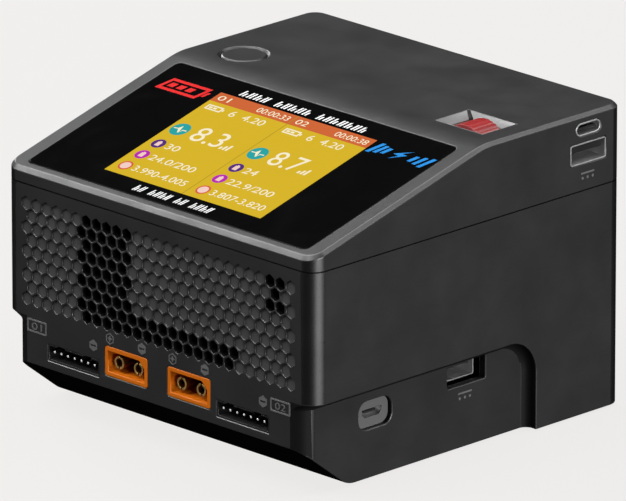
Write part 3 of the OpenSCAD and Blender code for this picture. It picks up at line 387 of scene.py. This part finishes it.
def soften(node, material, width=0.15 * MM, segments=2, share=None, edge=None, least=28):
    """Stands for a CAD node: the same shape with its flats joined and its edges rounded.

    share, where given, is the part of the width that an edge at a point takes.
    """
    bm = bmesh.new()
    bm.from_mesh(NODES[node].data)
    bmesh.ops.remove_doubles(bm, verts=bm.verts, dist=1e-6)
    flat = math.radians(0.6)
    bmesh.ops.dissolve_limit(bm, angle_limit=flat, verts=bm.verts, edges=bm.edges)
    mark_edges(bm, math.radians(least), share, width > 0)
    for face in bm.faces:
        face.material_index = 0
    materials = [material, edge] if edge else [material]
    piece = from_bmesh(node + "_form", bm, materials, body=NODES[node]["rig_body"],
                       slot=SLOTS[node], instead_of=[node])
    return smooth(piece, width, segments, 1 if edge else -1)


def loft(bm, rings, slot=0):
    """Joins closed rings of vertices, each to the next."""
    for ring, after in zip(rings, rings[1:]):
        for i in range(len(ring)):
            k = (i + 1) % len(ring)
            face = bm.faces.new((ring[i], ring[k], after[k], after[i]))
            face.material_index = slot
            face.smooth = True


def within(x, z, outline):
    """Whether a point lies inside an outline, by the edges crossed on the way out."""
    crossed = False
    for (x0, z0), (x1, z1) in zip(outline, outline[1:] + outline[:1]):
        if (z0 > z) != (z1 > z) and x < x0 + (z - z0) * (x1 - x0) / (z1 - z0):
            crossed = not crossed
    return crossed


def fill(bm, outline, holes, slot=0):
    """A flat face inside outline and outside holes, which are convex rings of vertices."""
    rings = [outline, *holes]
    flat = [v for ring in rings for v in ring]
    owner = [k for k, ring in enumerate(rings) for v in ring]
    edges, start = [], 0
    for ring in rings:
        n = len(ring)
        edges += [(start + i, start + (i + 1) % n) for i in range(n)]
        start += n
    found = delaunay_2d_cdt([Vector((v.co.x, v.co.z)) for v in flat], edges, [], 1, 1e-9, True)
    shape = [(v.co.x, v.co.z) for v in outline]
    for corners in found[2]:
        ids = [found[3][c][0] for c in corners]
        owners = {owner[i] for i in ids}
        middle = sum((flat[i].co for i in ids), Vector()) / 3
        if owners == {0} and not within(middle.x, middle.z, shape):
            continue
        if len(owners) == 1 and owners != {0}:
            continue
        face = bm.faces.new([flat[i] for i in ids])
        face.material_index = slot
        face.smooth = True


def ring_at(bm, points, depth):
    """Vertices at x, z points on the plane depth behind the front face."""
    return [bm.verts.new((x, FRONT + depth, z)) for x, z in points]


def hexagon(x, z, r):
    return [(x + r * math.sin(math.radians(60 * i)), z + r * math.cos(math.radians(60 * i)))
            for i in range(6)]


def rounded_box(x, z, w, h, r, steps=5):
    """The outline of a box with round corners."""
    points = []
    for k, (sx, sz) in enumerate(((1, 1), (-1, 1), (-1, -1), (1, -1))):
        for i in range(steps + 1):
            a = math.radians(90 * (k + i / steps))
            points.append((x + sx * (w / 2 - r) + r * math.cos(a), z + sz * (h / 2 - r) + r * math.sin(a)))
    return points


# ---------- front panel ----------

PANEL_T = 3 * MM
PANEL_HALF = SIDE - CORNER_R
PANEL_LOW_HALF = LOW_SIDE - CORNER_R
PANEL_LOW_Z = 13.35 * MM
CELL_PITCH = 3.76 * MM
CELL_WEB = 0.55 * MM
CELL_DEPTH = 0.4 * MM
CELL_ROWS = 9
CELL_COLS = 27
CELL_MID_Z = 43.95 * MM
CELL_BEVEL = 0.14 * MM
EDGE_ROUND = 0.1 * MM
ARC_STEPS = 3

# The panel's materials, and the place of each in its list
# Rims take the painted edge highlight, blind cell floors painted light, and through-cell walls and the
# panel's edges near-black painted shade.
PANEL_MATERIALS = ["shell", "shell_edge_highlight", "cell_floor_painted_light", "shell_low"]
FLAT, RIM, CELL_FLOOR, PAINTED_SHADE = range(4)


def is_open(row, place):
    """Whether a cell goes through: a band on the left, a strip below, a few on the right."""
    if row == 9:
        return 7 <= place <= 21
    if row == 8:
        return 6 <= place <= 21
    if row % 2 == 1:
        return 7 <= place <= 11 or (row <= 3 and place in (25, 26))
    return 6 <= place <= 10 or (row == 2 and place == 25)


def grille_cells():
    """Each cell's x, z and whether it goes through."""
    row_pitch = CELL_PITCH * math.sqrt(3) / 2
    for row in range(1, CELL_ROWS + 1):
        wide = row % 2 == 1
        middle = (CELL_COLS + 1) / 2 if wide else CELL_COLS / 2
        z = CELL_MID_Z + ((CELL_ROWS + 1) / 2 - row) * row_pitch
        for place in range(1, (CELL_COLS if wide else CELL_COLS - 1) + 1):
            yield (place - middle) * CELL_PITCH, z, is_open(row, place)


def rounding(depth, steps=ARC_STEPS):
    """Inset and depth along a quarter round, from the front face into the wall."""
    for i in range(steps + 1):
        a = math.radians(90 * i / steps)
        yield depth * (1 - math.sin(a)), depth * (1 - math.cos(a))


def panel_outline(inset):
    """The panel's T shape. Only its top and bottom edges draw in; its sides meet the corner posts."""
    top = SEAM - inset
    low = PANEL_LOW_Z + inset
    return [(PANEL_HALF, STEP), (PANEL_HALF, top), (-PANEL_HALF, top), (-PANEL_HALF, STEP),
            (-PANEL_LOW_HALF, STEP), (-PANEL_LOW_HALF, low), (PANEL_LOW_HALF, low), (PANEL_LOW_HALF, STEP)]


# Width, height, corner radius and edge round of the panel's hole for each kind of socket
SOCKET_HOLES = [
    ("output_socket_", 16.1 * MM, 8.3 * MM, 0.9 * MM, 0.15 * MM),
    ("balance_socket_", 19.3 * MM, 4.6 * MM, 0.2 * MM, 0.3 * MM),
]


def hole_outline(node, width, height, corner):
    """A hole round the middle of a socket, as a function of how far the outline is let out."""
    low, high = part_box(node)
    x, z = (low.x + high.x) / 2, (low.z + high.z) / 2
    return lambda by: rounded_box(x, z, width + 2 * by, height + 2 * by, corner + by)


def socket_holes():
    """The outline function and the edge round of each socket's hole in the panel."""
    for side in ("left", "right"):
        for kind, width, height, corner, edge in SOCKET_HOLES:
            yield hole_outline(kind + side, width, height, corner), edge


def make_front_panel():
    bm = bmesh.new()
    radius = (CELL_PITCH - CELL_WEB) / math.sqrt(3)
    front_holes, back_holes = [], []
    for x, z, through in grille_cells():
        rings = [ring_at(bm, hexagon(x, z, radius + inset), depth) for inset, depth in rounding(CELL_BEVEL)]
        last = PANEL_T if through else CELL_DEPTH
        rings.append(ring_at(bm, hexagon(x, z, radius), last))
        # Rounded cell rims: painted highlight.
        loft(bm, rings[:-1], RIM)
        # Through-cell walls are near-black: painted shade.
        loft(bm, rings[-2:], PAINTED_SHADE if through else FLAT)
        front_holes.append(rings[0])
        if through:
            back_holes.append(rings[-1])
        else:
            # Blind cell floors are painted lighter: painted light.
            floor = bm.faces.new(rings[-1])
            floor.material_index = CELL_FLOOR
    for outline, edge in socket_holes():
        rings = [ring_at(bm, outline(inset), depth) for inset, depth in rounding(edge)]
        rings.append(ring_at(bm, outline(0), PANEL_T))
        # Rounded socket hole rims: painted highlight.
        loft(bm, rings[:-1], RIM)
        loft(bm, rings[-2:], FLAT)
        front_holes.append(rings[0])
        back_holes.append(rings[-1])
    edge = [ring_at(bm, panel_outline(inset), depth) for inset, depth in rounding(EDGE_ROUND)]
    edge.append(ring_at(bm, panel_outline(0), PANEL_T))
    # The panel's edge rounding is near-black: painted shade at the seam.
    loft(bm, edge, PAINTED_SHADE)
    fill(bm, edge[0], front_holes)
    fill(bm, edge[-1], back_holes)
    mark_edges(bm, math.radians(40), None, False)
    piece = from_bmesh("front_panel_form", bm, PANEL_MATERIALS, slot="shell", instead_of=["front_panel"])
    return smooth(piece)


# ---------- moulded case parts and everything else that keeps its CAD shape ----------

def at_panel(middle):
    """On the line where the front panel meets the corner posts, which shows no joint."""
    return abs(middle.x) < PANEL_HALF + 0.05 * MM and middle.y < FRONT + 4 * MM and middle.z < SEAM


def by_seam(middle):
    """Beside the gap between the housing and the cover."""
    return abs(middle.z - SEAM - 0.2 * MM) < 0.21 * MM


def at_rear_opening(middle):
    """On an opening of the rear wall, where the vent's webs and the inlets' margins are thin."""
    inside = abs(middle.x) < PANEL_HALF - MM and BASE + MM < middle.z < SEAM - 2 * MM
    return inside and middle.y > BACK - 4 * MM


def housing_share(middle):
    """How much of its width the rounding of the housing keeps at a point."""
    if at_panel(middle) or by_seam(middle):
        return 0.0
    return 0.35 if at_rear_opening(middle) else 1.0


def on_corner(centre, normal):
    """On one of the case's upright round corners."""
    outside = abs(centre.x) > LOW_SIDE - CORNER_R and abs(centre.y) > BACK - CORNER_R - 0.1 * MM
    return outside and abs(normal.z) < 0.3 and min(abs(normal.x), abs(normal.y)) > 0.05


def in_gap(centre, normal):
    """In the gap under the cover, or in the hollow under the step of a side: the faces that are painted
    near-black as shade.
    """
    step = PANEL_LOW_HALF < abs(centre.x) < SIDE - 0.1 * MM and centre.z < STEP + 0.1 * MM
    hollow = step and (normal.z < -0.05 or normal.y < -0.25)
    return hollow or by_seam(centre)


def paint(piece, material, test):
    """Gives the faces that pass the test another material."""
    piece.data.materials.append(MATERIALS[material])
    for face in piece.data.polygons:
        if test(face.center, face.normal):
            face.material_index = len(piece.data.materials) - 1


def make_case():
    # Rounded edges of the housing, cover and button take the lighter edge copy: painted highlight.
    housing = soften("main_housing", "shell", 0.3 * MM, 3, share=housing_share, edge="shell_edge_highlight")
    cover = soften("top_cover", "shell", 0.18 * MM, 3, share=lambda middle: float(not by_seam(middle)),
                   edge="shell_edge_highlight")
    for piece in (housing, cover):
        # Upright corners take the darker corner copy: painted shade.
        paint(piece, "shell_corner_shaded", on_corner)
        # The gap under the cover and the hollow under the step turn near-black: painted shade.
        paint(piece, "shell_low", in_gap)
    # The base cover is near-black all over: painted shade on its underside chamfer.
    soften("base_cover", "shell_low", 0.25 * MM)
    soften("round_button", "shell", 0.25 * MM, 3, edge="shell_edge_highlight")
    soften("screen_glass", "glass", 0.25 * MM, 3)


# Material, how far the edges are rounded in millimetres, and the nodes so finished
CARRIED = [
    ("rubber", 0.2, "rubber_feet"),
    ("pale_plastic", 0.1, "wheel_surround"),
    ("red_plastic", 0.1, "scroll_wheel"),
    ("black_steel", 0.1, "case_screws fan_screws inlet_screws lcd_panel"),
    ("steel", 0.1, "cover_screws wheel_axle board_screws"),
    ("steel", 0.05, "button_switch fan_shaft"),
    ("foam", 0.0, "screen_tape"),
    ("silicone", 0.0, "button_dome wheel_dome"),
    ("black_plastic", 0.15, "wheel_carriage fan_rotor usb_tongues"),
    ("black_plastic", 0.08, "balance_socket_left balance_socket_right"),
    ("black_plastic", 0.3, "ac_inlet"),
    ("black_plastic", 0.0, "fan_frame"),
    ("green_plastic", 0.15, "wheel_encoder"),
    ("grey_plastic", 0.15, "wheel_bracket"),
    ("yellow_plastic", 0.25, "dc_inlet"),
    ("white_plastic", 0.1, "fuse"),
    ("board", 0.1, "control_board main_board psu_board"),
    ("port_metal", 0.08, "micro_usb_port usb_a_upper usb_a_lower"),
    ("port_metal", 0.12, "usb_c_port"),
    ("tin", 0.3, "ac_inlet_pins"),
    ("sheet", 0.0, "divider_sheet"),
    ("capacitor", 0.15, "bulk_capacitor output_capacitors"),
    ("ferrite", 0.3, "transformer_core choke_core power_inductors"),
    ("tape", 0.4, "transformer_winding"),
    ("copper", 0.15, "choke_winding fan_stator"),
    ("aluminium", 0.1, "heatsink"),
    ("package", 0.15, "mosfets rectifier"),
    ("brass", 0.1, "board_standoffs"),
]


# Pins with a painted highlight on their ends and painted shade on their sides: the node, the material of its
# sides and that of its ends
PINS = [
    ("balance_pins", "black_steel", "pin_metal_highlight"),
    ("output_pins", "gold_painted_shade", "gold"),
    ("dc_inlet_pins", "gold_painted_shade", "gold"),
]


def make_carried():
    for material, width, nodes in CARRIED:
        for node in nodes.split():
            soften(node, material, width * MM)
    for node, material, tip in PINS:
        pins = soften(node, material, 0.08 * MM)
        # Pin ends take the bright material, a painted highlight; the sides keep a darker one, painted shade.
        paint(pins, tip, lambda centre, normal: abs(normal.y) > 0.5)


# ---------- output sockets, with painted shade in deep red at the back of their insides ---

def make_output_sockets():
    for node in ("output_socket_left", "output_socket_right"):
        low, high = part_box(node)
        middle = (low + high) / 2
        piece = soften(node, "orange_plastic", 0.2 * MM, 3)
        piece.data.materials.append(MATERIALS["orange_shaded"])
        for face in piece.data.polygons:
            x, y, z = face.center
            inside = abs(x - middle.x) < 6.8 * MM and abs(z - middle.z) < 3 * MM
            # Inside faces towards the back turn deep red: painted shade.
            if inside and y > FRONT + 12 * MM and face.normal.y < -0.5:
                face.material_index = 1


# How far each half-round section of a rib lies behind the front face, and its radius, in millimetres
RIB_SECTIONS = [(0.3, 0.5), (0.45, 0.8), (0.8, 1.0), (9.0, 1.0)]
RIB_STEPS = 10


def make_socket_ribs():
    """The low round rib on the floor of each output socket, between its pins."""
    for side in ("left", "right"):
        low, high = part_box("output_socket_" + side)
        x, floor = (low.x + high.x) / 2, low.z + 1.15 * MM
        bm = bmesh.new()
        arc = [math.pi * i / RIB_STEPS for i in range(RIB_STEPS + 1)]
        rows = []
        for y, r in RIB_SECTIONS:
            rows.append([bm.verts.new((x + r * MM * math.cos(a), FRONT + y * MM,
                                       floor + r * MM * math.sin(a))) for a in arc])
        loft(bm, rows)
        bm.faces.new(rows[0][::-1])
        bm.faces.new(rows[-1])
        from_bmesh("output_rib_" + side, bm, ["orange_plastic"], slot="orange_plastic")


# ---------- printed and raised marks ----------

FRONT_FACE = Matrix.Translation((0, FRONT, 0)) @ Matrix.Rotation(math.radians(90), 4, "X")


def side_face(x):
    """A plane on the right side: local X runs to the back, Y up and Z out."""
    return Matrix(((0, 0, 1, x), (1, 0, 0, 0), (0, 1, 0, 0), (0, 0, 0, 1)))


def from_curve(name, curve, material, place, body="root", slot=None):
    """The mesh of a flat curve or text, put in place."""
    source = bpy.data.objects.new(name + "_line", curve)
    bpy.context.scene.collection.objects.link(source)
    bpy.context.view_layer.update()
    graph = bpy.context.evaluated_depsgraph_get()
    mesh = bpy.data.meshes.new_from_object(source.evaluated_get(graph))
    mesh.name = name
    mesh.transform(place)
    bpy.data.objects.remove(source)
    mesh.materials.clear()
    return new_object(name, mesh, material, body=body, slot=slot)


def sign(name, outlines, material, place, low=0.0, rise=0.02, bevel=0.0, slot=None, steps=1):
    """Closed outlines in millimetres, standing from low to low + rise above a plane."""
    curve = bpy.data.curves.new(name, "CURVE")
    curve.dimensions = "2D"
    curve.fill_mode = "BOTH"
    curve.extrude = (rise / 2 - bevel) * MM
    curve.bevel_depth = bevel * MM
    curve.bevel_resolution = steps
    curve.offset = -bevel * MM
    for points in outlines:
        line = curve.splines.new("POLY")
        line.points.add(len(points) - 1)
        for point, (x, y) in zip(line.points, points):
            point.co = (x * MM, y * MM, 0, 1)
        line.use_cyclic_u = True
    return from_curve(name, curve, material, place @ Matrix.Translation((0, 0, (low + rise / 2) * MM)),
                      slot=slot)


# Height of the font's digits, as a share of its size
DIGIT_SHARE = 0.73


def label(name, text, at, height, material, place, low=0.0, rise=0.02, width=None, lean=0.0, slot=None):
    """Numbers of a given digit height, from the left end of their base line, in millimetres."""
    curve = bpy.data.curves.new(name, "FONT")
    curve.body = text
    curve.size = height / DIGIT_SHARE * MM
    curve.shear = lean
    curve.extrude = rise / 2 * MM
    piece = from_curve(name, curve, material, Matrix.Identity(4), slot=slot)
    reach = [v.co.x for v in piece.data.vertices]
    tall = [v.co.y for v in piece.data.vertices]
    wide = max(reach) - min(reach)
    grow = (width * MM / wide if width else 1.0, height * MM / (max(tall) - min(min(tall), 0)), 1.0, 1.0)
    shift = Matrix.Translation((at[0] * MM, at[1] * MM, (low + rise / 2) * MM))
    piece.data.transform(place @ shift @ Matrix.Diagonal(grow) @ Matrix.Translation((-min(reach), 0, 0)))
    return piece


def disc(x, y, r, steps=40):
    return [(x + r * math.cos(2 * math.pi * i / steps), y + r * math.sin(2 * math.pi * i / steps))
            for i in range(steps)]


def bar(x0, y0, x1, y1):
    return [(x0, y0), (x1, y0), (x1, y1), (x0, y1)]


def stroke(points, width):
    """The outline of a bent line of even width, with mitred corners."""
    left, right = [], []
    for i, (x, y) in enumerate(points):
        before = points[max(i - 1, 0)]
        after = points[min(i + 1, len(points) - 1)]
        dx, dy = after[0] - before[0], after[1] - before[1]
        run = math.hypot(dx, dy)
        nx, ny = -dy / run * width / 2, dx / run * width / 2
        left.append((x + nx, y + ny))
        right.append((x - nx, y - ny))
    return left + right[::-1]


def slant(x, low, high, width, lean=0.25):
    """A leaning bar, from its lower left corner."""
    over = lean * (high - low)
    return [(x, low), (x + width, low), (x + width + over, high), (x + over, high)]


def leaning(points, low, lean=0.25):
    return [(x + lean * (y - low), y) for x, y in points]


# ---------- marks on the front and right faces ----------

def make_badges():
    for number, x in (("01", -45.0), ("02", 45.25)):
        rim = [rounded_box(x, 23.89, 7.28, 3.63, 0.3), rounded_box(x, 23.89, 6.3, 2.65, 0.2)[::-1]]
        sign("badge_" + number, rim, "mark", FRONT_FACE, -0.01, 0.13, bevel=0.04, slot="shell")
        label("badge_number_" + number, number, (x - 1.9, 22.95), 1.9, "mark", FRONT_FACE, -0.01, 0.12,
              width=3.8, slot="shell")


MARK_R = 1.62


def make_polarity_marks():
    for i, (x, z) in enumerate(((-23.8, 23.9), (-5.7, 27.3), (17.6, 27.25), (38.9, 23.85))):
        groove = bar(x - 1.0, z - 0.28, x + 1.0, z + 0.28)[::-1]
        sign("minus_mark_%d" % i, [hexagon(x, z, MARK_R), groove], "mark", FRONT_FACE, -0.01, 0.1,
             slot="shell")
    for i, (x, z) in enumerate(((-17.6, 27.2), (5.7, 27.3))):
        rim = [hexagon(x, z, MARK_R), hexagon(x, z, 1.3)[::-1]]
        a, b = 0.22, 0.75
        plus = [(-a, -b), (a, -b), (a, -a), (b, -a), (b, a), (a, a), (a, b), (-a, b), (-a, a), (-b, a),
                (-b, -a), (-a, -a)]
        rim.append([(x + u, z + v) for u, v in plus])
        sign("plus_mark_%d" % i, rim, "mark", FRONT_FACE, -0.01, 0.1, slot="shell")


def make_direct_current_marks():
    """A bar over three dots, under each full-size USB socket."""
    low = (-0.4, 4.6, 15.6, (0.2, 2.1, 3.96), 14.25)
    high = (40.9, 45.75, 66.9, (41.5, 43.35, 45.25), 65.6)
    for name, x, (y0, y1, z, dots, dot_z) in (("low", LOW_SIDE, low), ("high", SIDE, high)):
        shapes = [bar(y0, z - 0.24, y1, z + 0.24)]
        shapes += [disc(y, dot_z, 0.4, 16) for y in dots]
        sign("direct_current_mark_" + name, shapes, "mark", side_face(x), -0.01, 0.07, slot="shell")


# ---------- print on the glass ----------

# Rows of leaning bars: name, left, right, low and high in millimetres on the slope, and bars in each group
BAR_ROWS = [
    ("upper", -23.6, 23.3, 54.46, 57.15, (4, 5, 7)),
    ("lower", -14.5, 14.6, 5.08, 7.77, (2, 4, 2, 4)),
]


def make_glass_print():
    print_on = dict(place=SLOPE, low=-0.055, rise=0.02, slot="glass")
    for name, left, right, low, high, groups in BAR_ROWS:
        lean = 0.25 * (high - low)
        pitch = (right - left - lean) / (sum(groups) + len(groups) - 1)
        shapes, x = [], left
        for count in groups:
            for i in range(count):
                shapes.append(slant(x, low, high, pitch * 0.24))
                shapes.append(slant(x + pitch * 0.42, low, high if i % 2 else low + 0.62 * (high - low),
                                    pitch * 0.24))
                x += pitch
            x += pitch
        sign("glass_scale_" + name, shapes, "ink_white", **print_on)
    make_battery_print(print_on)
    make_bolt_print(print_on)


def make_battery_print(print_on):
    """A leaning battery in red, at the upper left."""
    left, right, low, high = -48.2, -33.6, 47.6, 53.4
    shapes = [bar(left, low, right, high), bar(left + 1.1, low + 1.1, right - 1.1, high - 1.1)[::-1],
              bar(right + 0.35, low + 1.7, right + 1.3, high - 1.7)]
    for i in range(3):
        shapes.append(bar(left + 2.0 + 3.3 * i, low + 1.9, left + 4.2 + 3.3 * i, high - 1.9))
    sign("glass_battery", [leaning(shape, low, 0.3) for shape in shapes], "ink_red", **print_on)


def make_bolt_print(print_on):
    """A bolt between leaning bars in blue, at the upper right."""
    low, high = 47.9, 53.0
    shapes = [slant(29.3 + 2.2 * i, low + 0.55 * i, high - 0.55 * i, 1.3, 0.35) for i in range(3)]
    shapes += [slant(47.8 - 2.2 * i, low + 0.55 * i, high - 0.55 * i, 1.3, 0.35) for i in range(3)]
    bolt = [(37.6, 47.7), (41.9, 51.0), (39.9, 51.2), (42.4, 53.3), (37.4, 50.3), (39.5, 50.0)]
    sign("glass_bolt", [*shapes, bolt], "ink_blue", **print_on)


# ---------- small parts of the sockets and the wheel ----------

def make_micro_usb_face():
    """The pale face in the recess, round the socket's slot."""
    low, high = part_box("micro_usb_port")
    y, z = (low.y + high.y) / 2 / MM, (low.z + high.z) / 2 / MM
    rim = rounded_box(y, z, 11.7, 7.5, 2.85, 8)
    slot = [(y - 3.5, z + 1.1), (y - 3.5, z - 0.1), (y - 2.6, z - 1.1),
            (y + 2.6, z - 1.1), (y + 3.5, z - 0.1), (y + 3.5, z + 1.1)]
    sign("micro_usb_face", [rim, slot], "port_face", side_face(high.x), -0.02, 0.3, bevel=0.08, slot="shell")


SPRING_PITCH = 2.3 * MM
# How far each bend of a spring lies out from the socket's face, and above its middle, in millimetres
SPRING_PATH = [(-10, 0.1), (-7, -0.75), (-4.5, -1.0), (-3, -0.7), (-2, -0.05)]


def make_usb_contacts():
    """Four plated springs under the tongue of each full-size socket."""
    for node in ("usb_a_upper", "usb_a_lower"):
        low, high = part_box(node)
        y, z = (low.y + high.y) / 2, (low.z + high.z) / 2
        for i in range(4):
            at = y + (i - 1.5) * SPRING_PITCH
            bm = bmesh.new()
            rows = []
            for depth, drop in SPRING_PATH:
                x, h = high.x + depth * MM, z + drop * MM
                rows.append([bm.verts.new((x, at + side * 0.5 * MM, h + up * MM))
                             for side, up in ((-1, 0), (1, 0), (1, 0.2), (-1, 0.2))])
            loft(bm, rows)
            bm.faces.new(rows[0])
            bm.faces.new(rows[-1][::-1])
            from_bmesh("%s_spring_%d" % (node, i), bm, ["port_metal"], slot="gold")


def make_wheel_mitre():
    """A near-black strip down the far left corner of the wheel's funnel: painted shade in the crease."""
    low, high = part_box("wheel_surround")
    bm = bmesh.new()
    top = Vector((low.x + 0.35 * MM, high.y - 0.35 * MM, high.z))
    run = Vector((2.5, -1.6, -1.4)) * 1.2 * MM
    across = Vector((0.6, 0.8, 0)) * 0.62 * MM
    lift = Vector((0.35, -0.26, 0.6)) * 0.12 * MM
    rows = [[bm.verts.new(top + run * t + across * a + lift * b)
             for a, b in ((-1, -1.5), (1, -1.5), (1, 0.5), (0, 1), (-1, 0.5))] for t in (0.0, 0.5, 1.0)]
    loft(bm, rows)
    bm.faces.new(rows[0])
    bm.faces.new(rows[-1][::-1])
    from_bmesh("wheel_funnel_shade_strip", bm, ["funnel_painted_shade"], slot="pale_plastic")


# ---------- the lit display, on the slope ----------

DISPLAY = {"left": -29.0, "right": 28.6, "low": 9.55, "high": 53.45, "bar": 49.05, "middle": -0.17}
COLUMN_STEP = 28.75
PICTURE_LOW = -0.055
ROWS = [(25.95, "lcd_violet", 24.75), (19.8, "lcd_magenta", 18.6), (13.6, "lcd_coral", 12.4)]
READINGS = [
    ("1", "00:00:33", "6  4.20", "8.3", ("30", "24.0/200", "3.990-4.005")),
    ("2", "00:00:38", "6  4.20", "8.7", ("24", "22.9/200", "3.807-3.820")),
]
ROW_WIDTHS = (4.6, 16.5, 19.4)


def make_column(shift, number, timer, cells, reading, rows):
    """One battery's half of the display, moved to the right by shift millimetres."""
    name = "display_" + number
    text = dict(material="lcd_text", place=SLOPE, low=-0.03, rise=0.012, slot="lcd")
    label(name + "_channel", "0" + number, (-27.6 + shift, 50.1), 2.2, width=4.2, **text)
    label(name + "_timer", timer, (-13.1 + shift, 50.1), 2.2, width=11.6, **text)
    label(name + "_cells", cells, (-18.6 + shift, 45.0), 2.7, width=12.6, **text)
    label(name + "_reading", reading, (-19.9 + shift, 31.2), 6.8, width=11.0, **text)
    battery = [bar(-27.4, 45.2, -21.8, 47.5), bar(-26.9, 45.7, -22.3, 47.0)[::-1],
               bar(-21.6, 45.9, -21.1, 46.8), bar(-26.5, 46.0, -25.3, 46.7), bar(-24.9, 46.0, -23.7, 46.7)]
    sign(name + "_battery", [[(x + shift, y) for x, y in shape] for shape in battery], **text)
    scale = [slant(-8.3 + 1.15 * i, 31.2, 32.4 + 0.75 * i, 0.7, 0.1) for i in range(3)]
    sign(name + "_level", [[(x + shift, y) for x, y in shape] for shape in scale], **text)
    under = dict(place=SLOPE, low=-0.04, rise=0.012, slot="lcd")
    over = dict(place=SLOPE, low=-0.028, rise=0.012, slot="lcd")
    x = -25.1 + shift
    sign(name + "_pulse_disc", [disc(x, 34.05, 2.95)], "lcd_teal", **under)
    pulse = [(-2.3, 0.0), (-0.9, 0.15), (-0.45, 1.5), (0.55, -1.5), (1.0, -0.1), (2.3, 0.0)]
    sign(name + "_pulse", [stroke([(x + u, 34.05 + v) for u, v in pulse], 0.42)], "lcd_text", **over)
    for (y, colour, base), value, width in zip(ROWS, rows, ROW_WIDTHS):
        tag = name + "_" + colour[4:]
        sign(tag + "_disc", [disc(x, y, 2.1)], colour, **under)
        if colour == "lcd_coral":
            sign(tag + "_field", [disc(x, y, 1.55)], "lcd_pale", **over)
        else:
            icon = [bar(x - 0.75, y - 1.1, x + 0.75, y + 0.85), bar(x - 0.35, y + 0.85, x + 0.35, y + 1.25)]
            sign(tag + "_icon", icon, "lcd_pale", **over)
        label(tag + "_value", value, (-22.1 + shift, base), 2.6, width=width, **text)


def make_display():
    d = DISPLAY
    sign("display_field", [bar(d["left"], d["low"], d["right"], d["bar"])], "lcd", SLOPE,
         PICTURE_LOW, 0.01, slot="lcd")
    sign("display_bar", [bar(d["left"], d["bar"], d["right"], d["high"])], "lcd_bar", SLOPE,
         PICTURE_LOW, 0.01, slot="lcd")
    sign("display_line", [bar(d["middle"] - 0.12, d["low"], d["middle"] + 0.12, d["high"])], "lcd_line",
         SLOPE, PICTURE_LOW + 0.005, 0.014, slot="lcd")
    for column, values in enumerate(READINGS):
        make_column(column * COLUMN_STEP, *values)


# ---------- stage, lights and camera ----------

def make_stage():
    s = Shade("floor", Roughness=0.9, Specular_IOR_Level=0.05, Emission_Strength=1.0)
    s.feed("Base Color", s.mix(s.noise(0.4, 2.0), (0.028, 0.028, 0.028), (0.032, 0.032, 0.032)))
    s.feed("Emission Color", (0.81, 0.795, 0.785, 1))
    bm = bmesh.new()
    bmesh.ops.create_grid(bm, x_segments=8, y_segments=8, size=6.0)
    mesh = bpy.data.meshes.new("floor")
    bm.to_mesh(mesh)
    bm.free()
    floor = bpy.data.objects.new("floor", mesh)
    floor.data.materials.append(s.material)
    bpy.context.scene.collection.objects.link(floor)
    floor.visible_diffuse = False
    floor.visible_glossy = False


def soft_light(name, where, target, size, power, colour=(1, 1, 1)):
    """An area light at where, facing target."""
    light = bpy.data.lights.new(name, "AREA")
    light.shape = "RECTANGLE"
    light.size, light.size_y = size
    light.energy = power
    light.color = colour
    lamp = bpy.data.objects.new(name, light)
    lamp.location = where
    lamp.rotation_mode = "QUATERNION"
    lamp.rotation_quaternion = (Vector(target) - Vector(where)).to_track_quat("-Z", "Y")
    bpy.context.scene.collection.objects.link(lamp)
    return lamp


# Name, direction from the case, width and height in metres, and power in watts of each soft box
LIGHTS = [
    ("over", (0, 0, 1), (1.8, 1.8), 30),
    ("over_front", (-0.1, -0.55, 0.83), (0.9, 0.9), 28),
    ("key", (-0.67, -0.42, 0.60), (0.6, 0.6), 20),
    ("slope", (-0.6, 0.15, 0.78), (0.4, 0.4), 7),
    ("front_left", (-0.62, -0.78, 0.12), (0.4, 0.4), 3),
    ("back_left", (-0.9, 0.3, 0.35), (0.5, 0.7), 10),
    ("back_right", (0.4, 0.52, 0.74), (0.9, 0.9), 16),
    ("right_strip", (0.99, -0.1, 0.07), (1.5, 0.35), 43),
]
LIGHT_REACH = 2.0
CENTRE = Vector((0, 0, 0.04))


def make_lights():
    world = bpy.data.worlds.new("room")
    world.use_nodes = True
    world.node_tree.nodes["Background"].inputs["Color"].default_value = (0, 0, 0, 1)
    bpy.context.scene.world = world
    for name, toward, size, power in LIGHTS:
        soft_light(name, CENTRE + Vector(toward).normalized() * LIGHT_REACH, CENTRE, size, power)


# The camera's direction, aim, distance and lens, as fitted to the edges of the case in the photo
CAMERA_AZIMUTH = math.radians(45.24)
CAMERA_ELEVATION = math.radians(18.35)
CAMERA_TARGET = Vector((-14.741, 14.234, 35.335)) * MM
CAMERA_DISTANCE = 3.4105
CAMERA_LENS = 747.7


def make_camera():
    """The camera stands far off to the front right, a little above the case."""
    azimuth, height = CAMERA_AZIMUTH, CAMERA_ELEVATION
    back = Vector((math.sin(azimuth) * math.cos(height), -math.cos(azimuth) * math.cos(height),
                   math.sin(height)))
    lens = bpy.data.cameras.new("camera")
    lens.sensor_width = 36
    lens.lens = CAMERA_LENS
    lens.clip_end = 50
    camera = bpy.data.objects.new("camera", lens)
    camera.location = CAMERA_TARGET + back * CAMERA_DISTANCE
    camera.rotation_mode = "QUATERNION"
    camera.rotation_quaternion = (-back).to_track_quat("-Z", "Y")
    bpy.context.scene.collection.objects.link(camera)
    bpy.context.scene.camera = camera
    bpy.context.scene.view_settings.view_transform = "Standard"


make_case()
make_front_panel()
make_output_sockets()
make_socket_ribs()
make_carried()
make_display()
make_glass_print()
make_badges()
make_polarity_marks()
make_direct_current_marks()
make_micro_usb_face()
make_usb_contacts()
make_wheel_mitre()
make_stage()
make_lights()
make_camera()
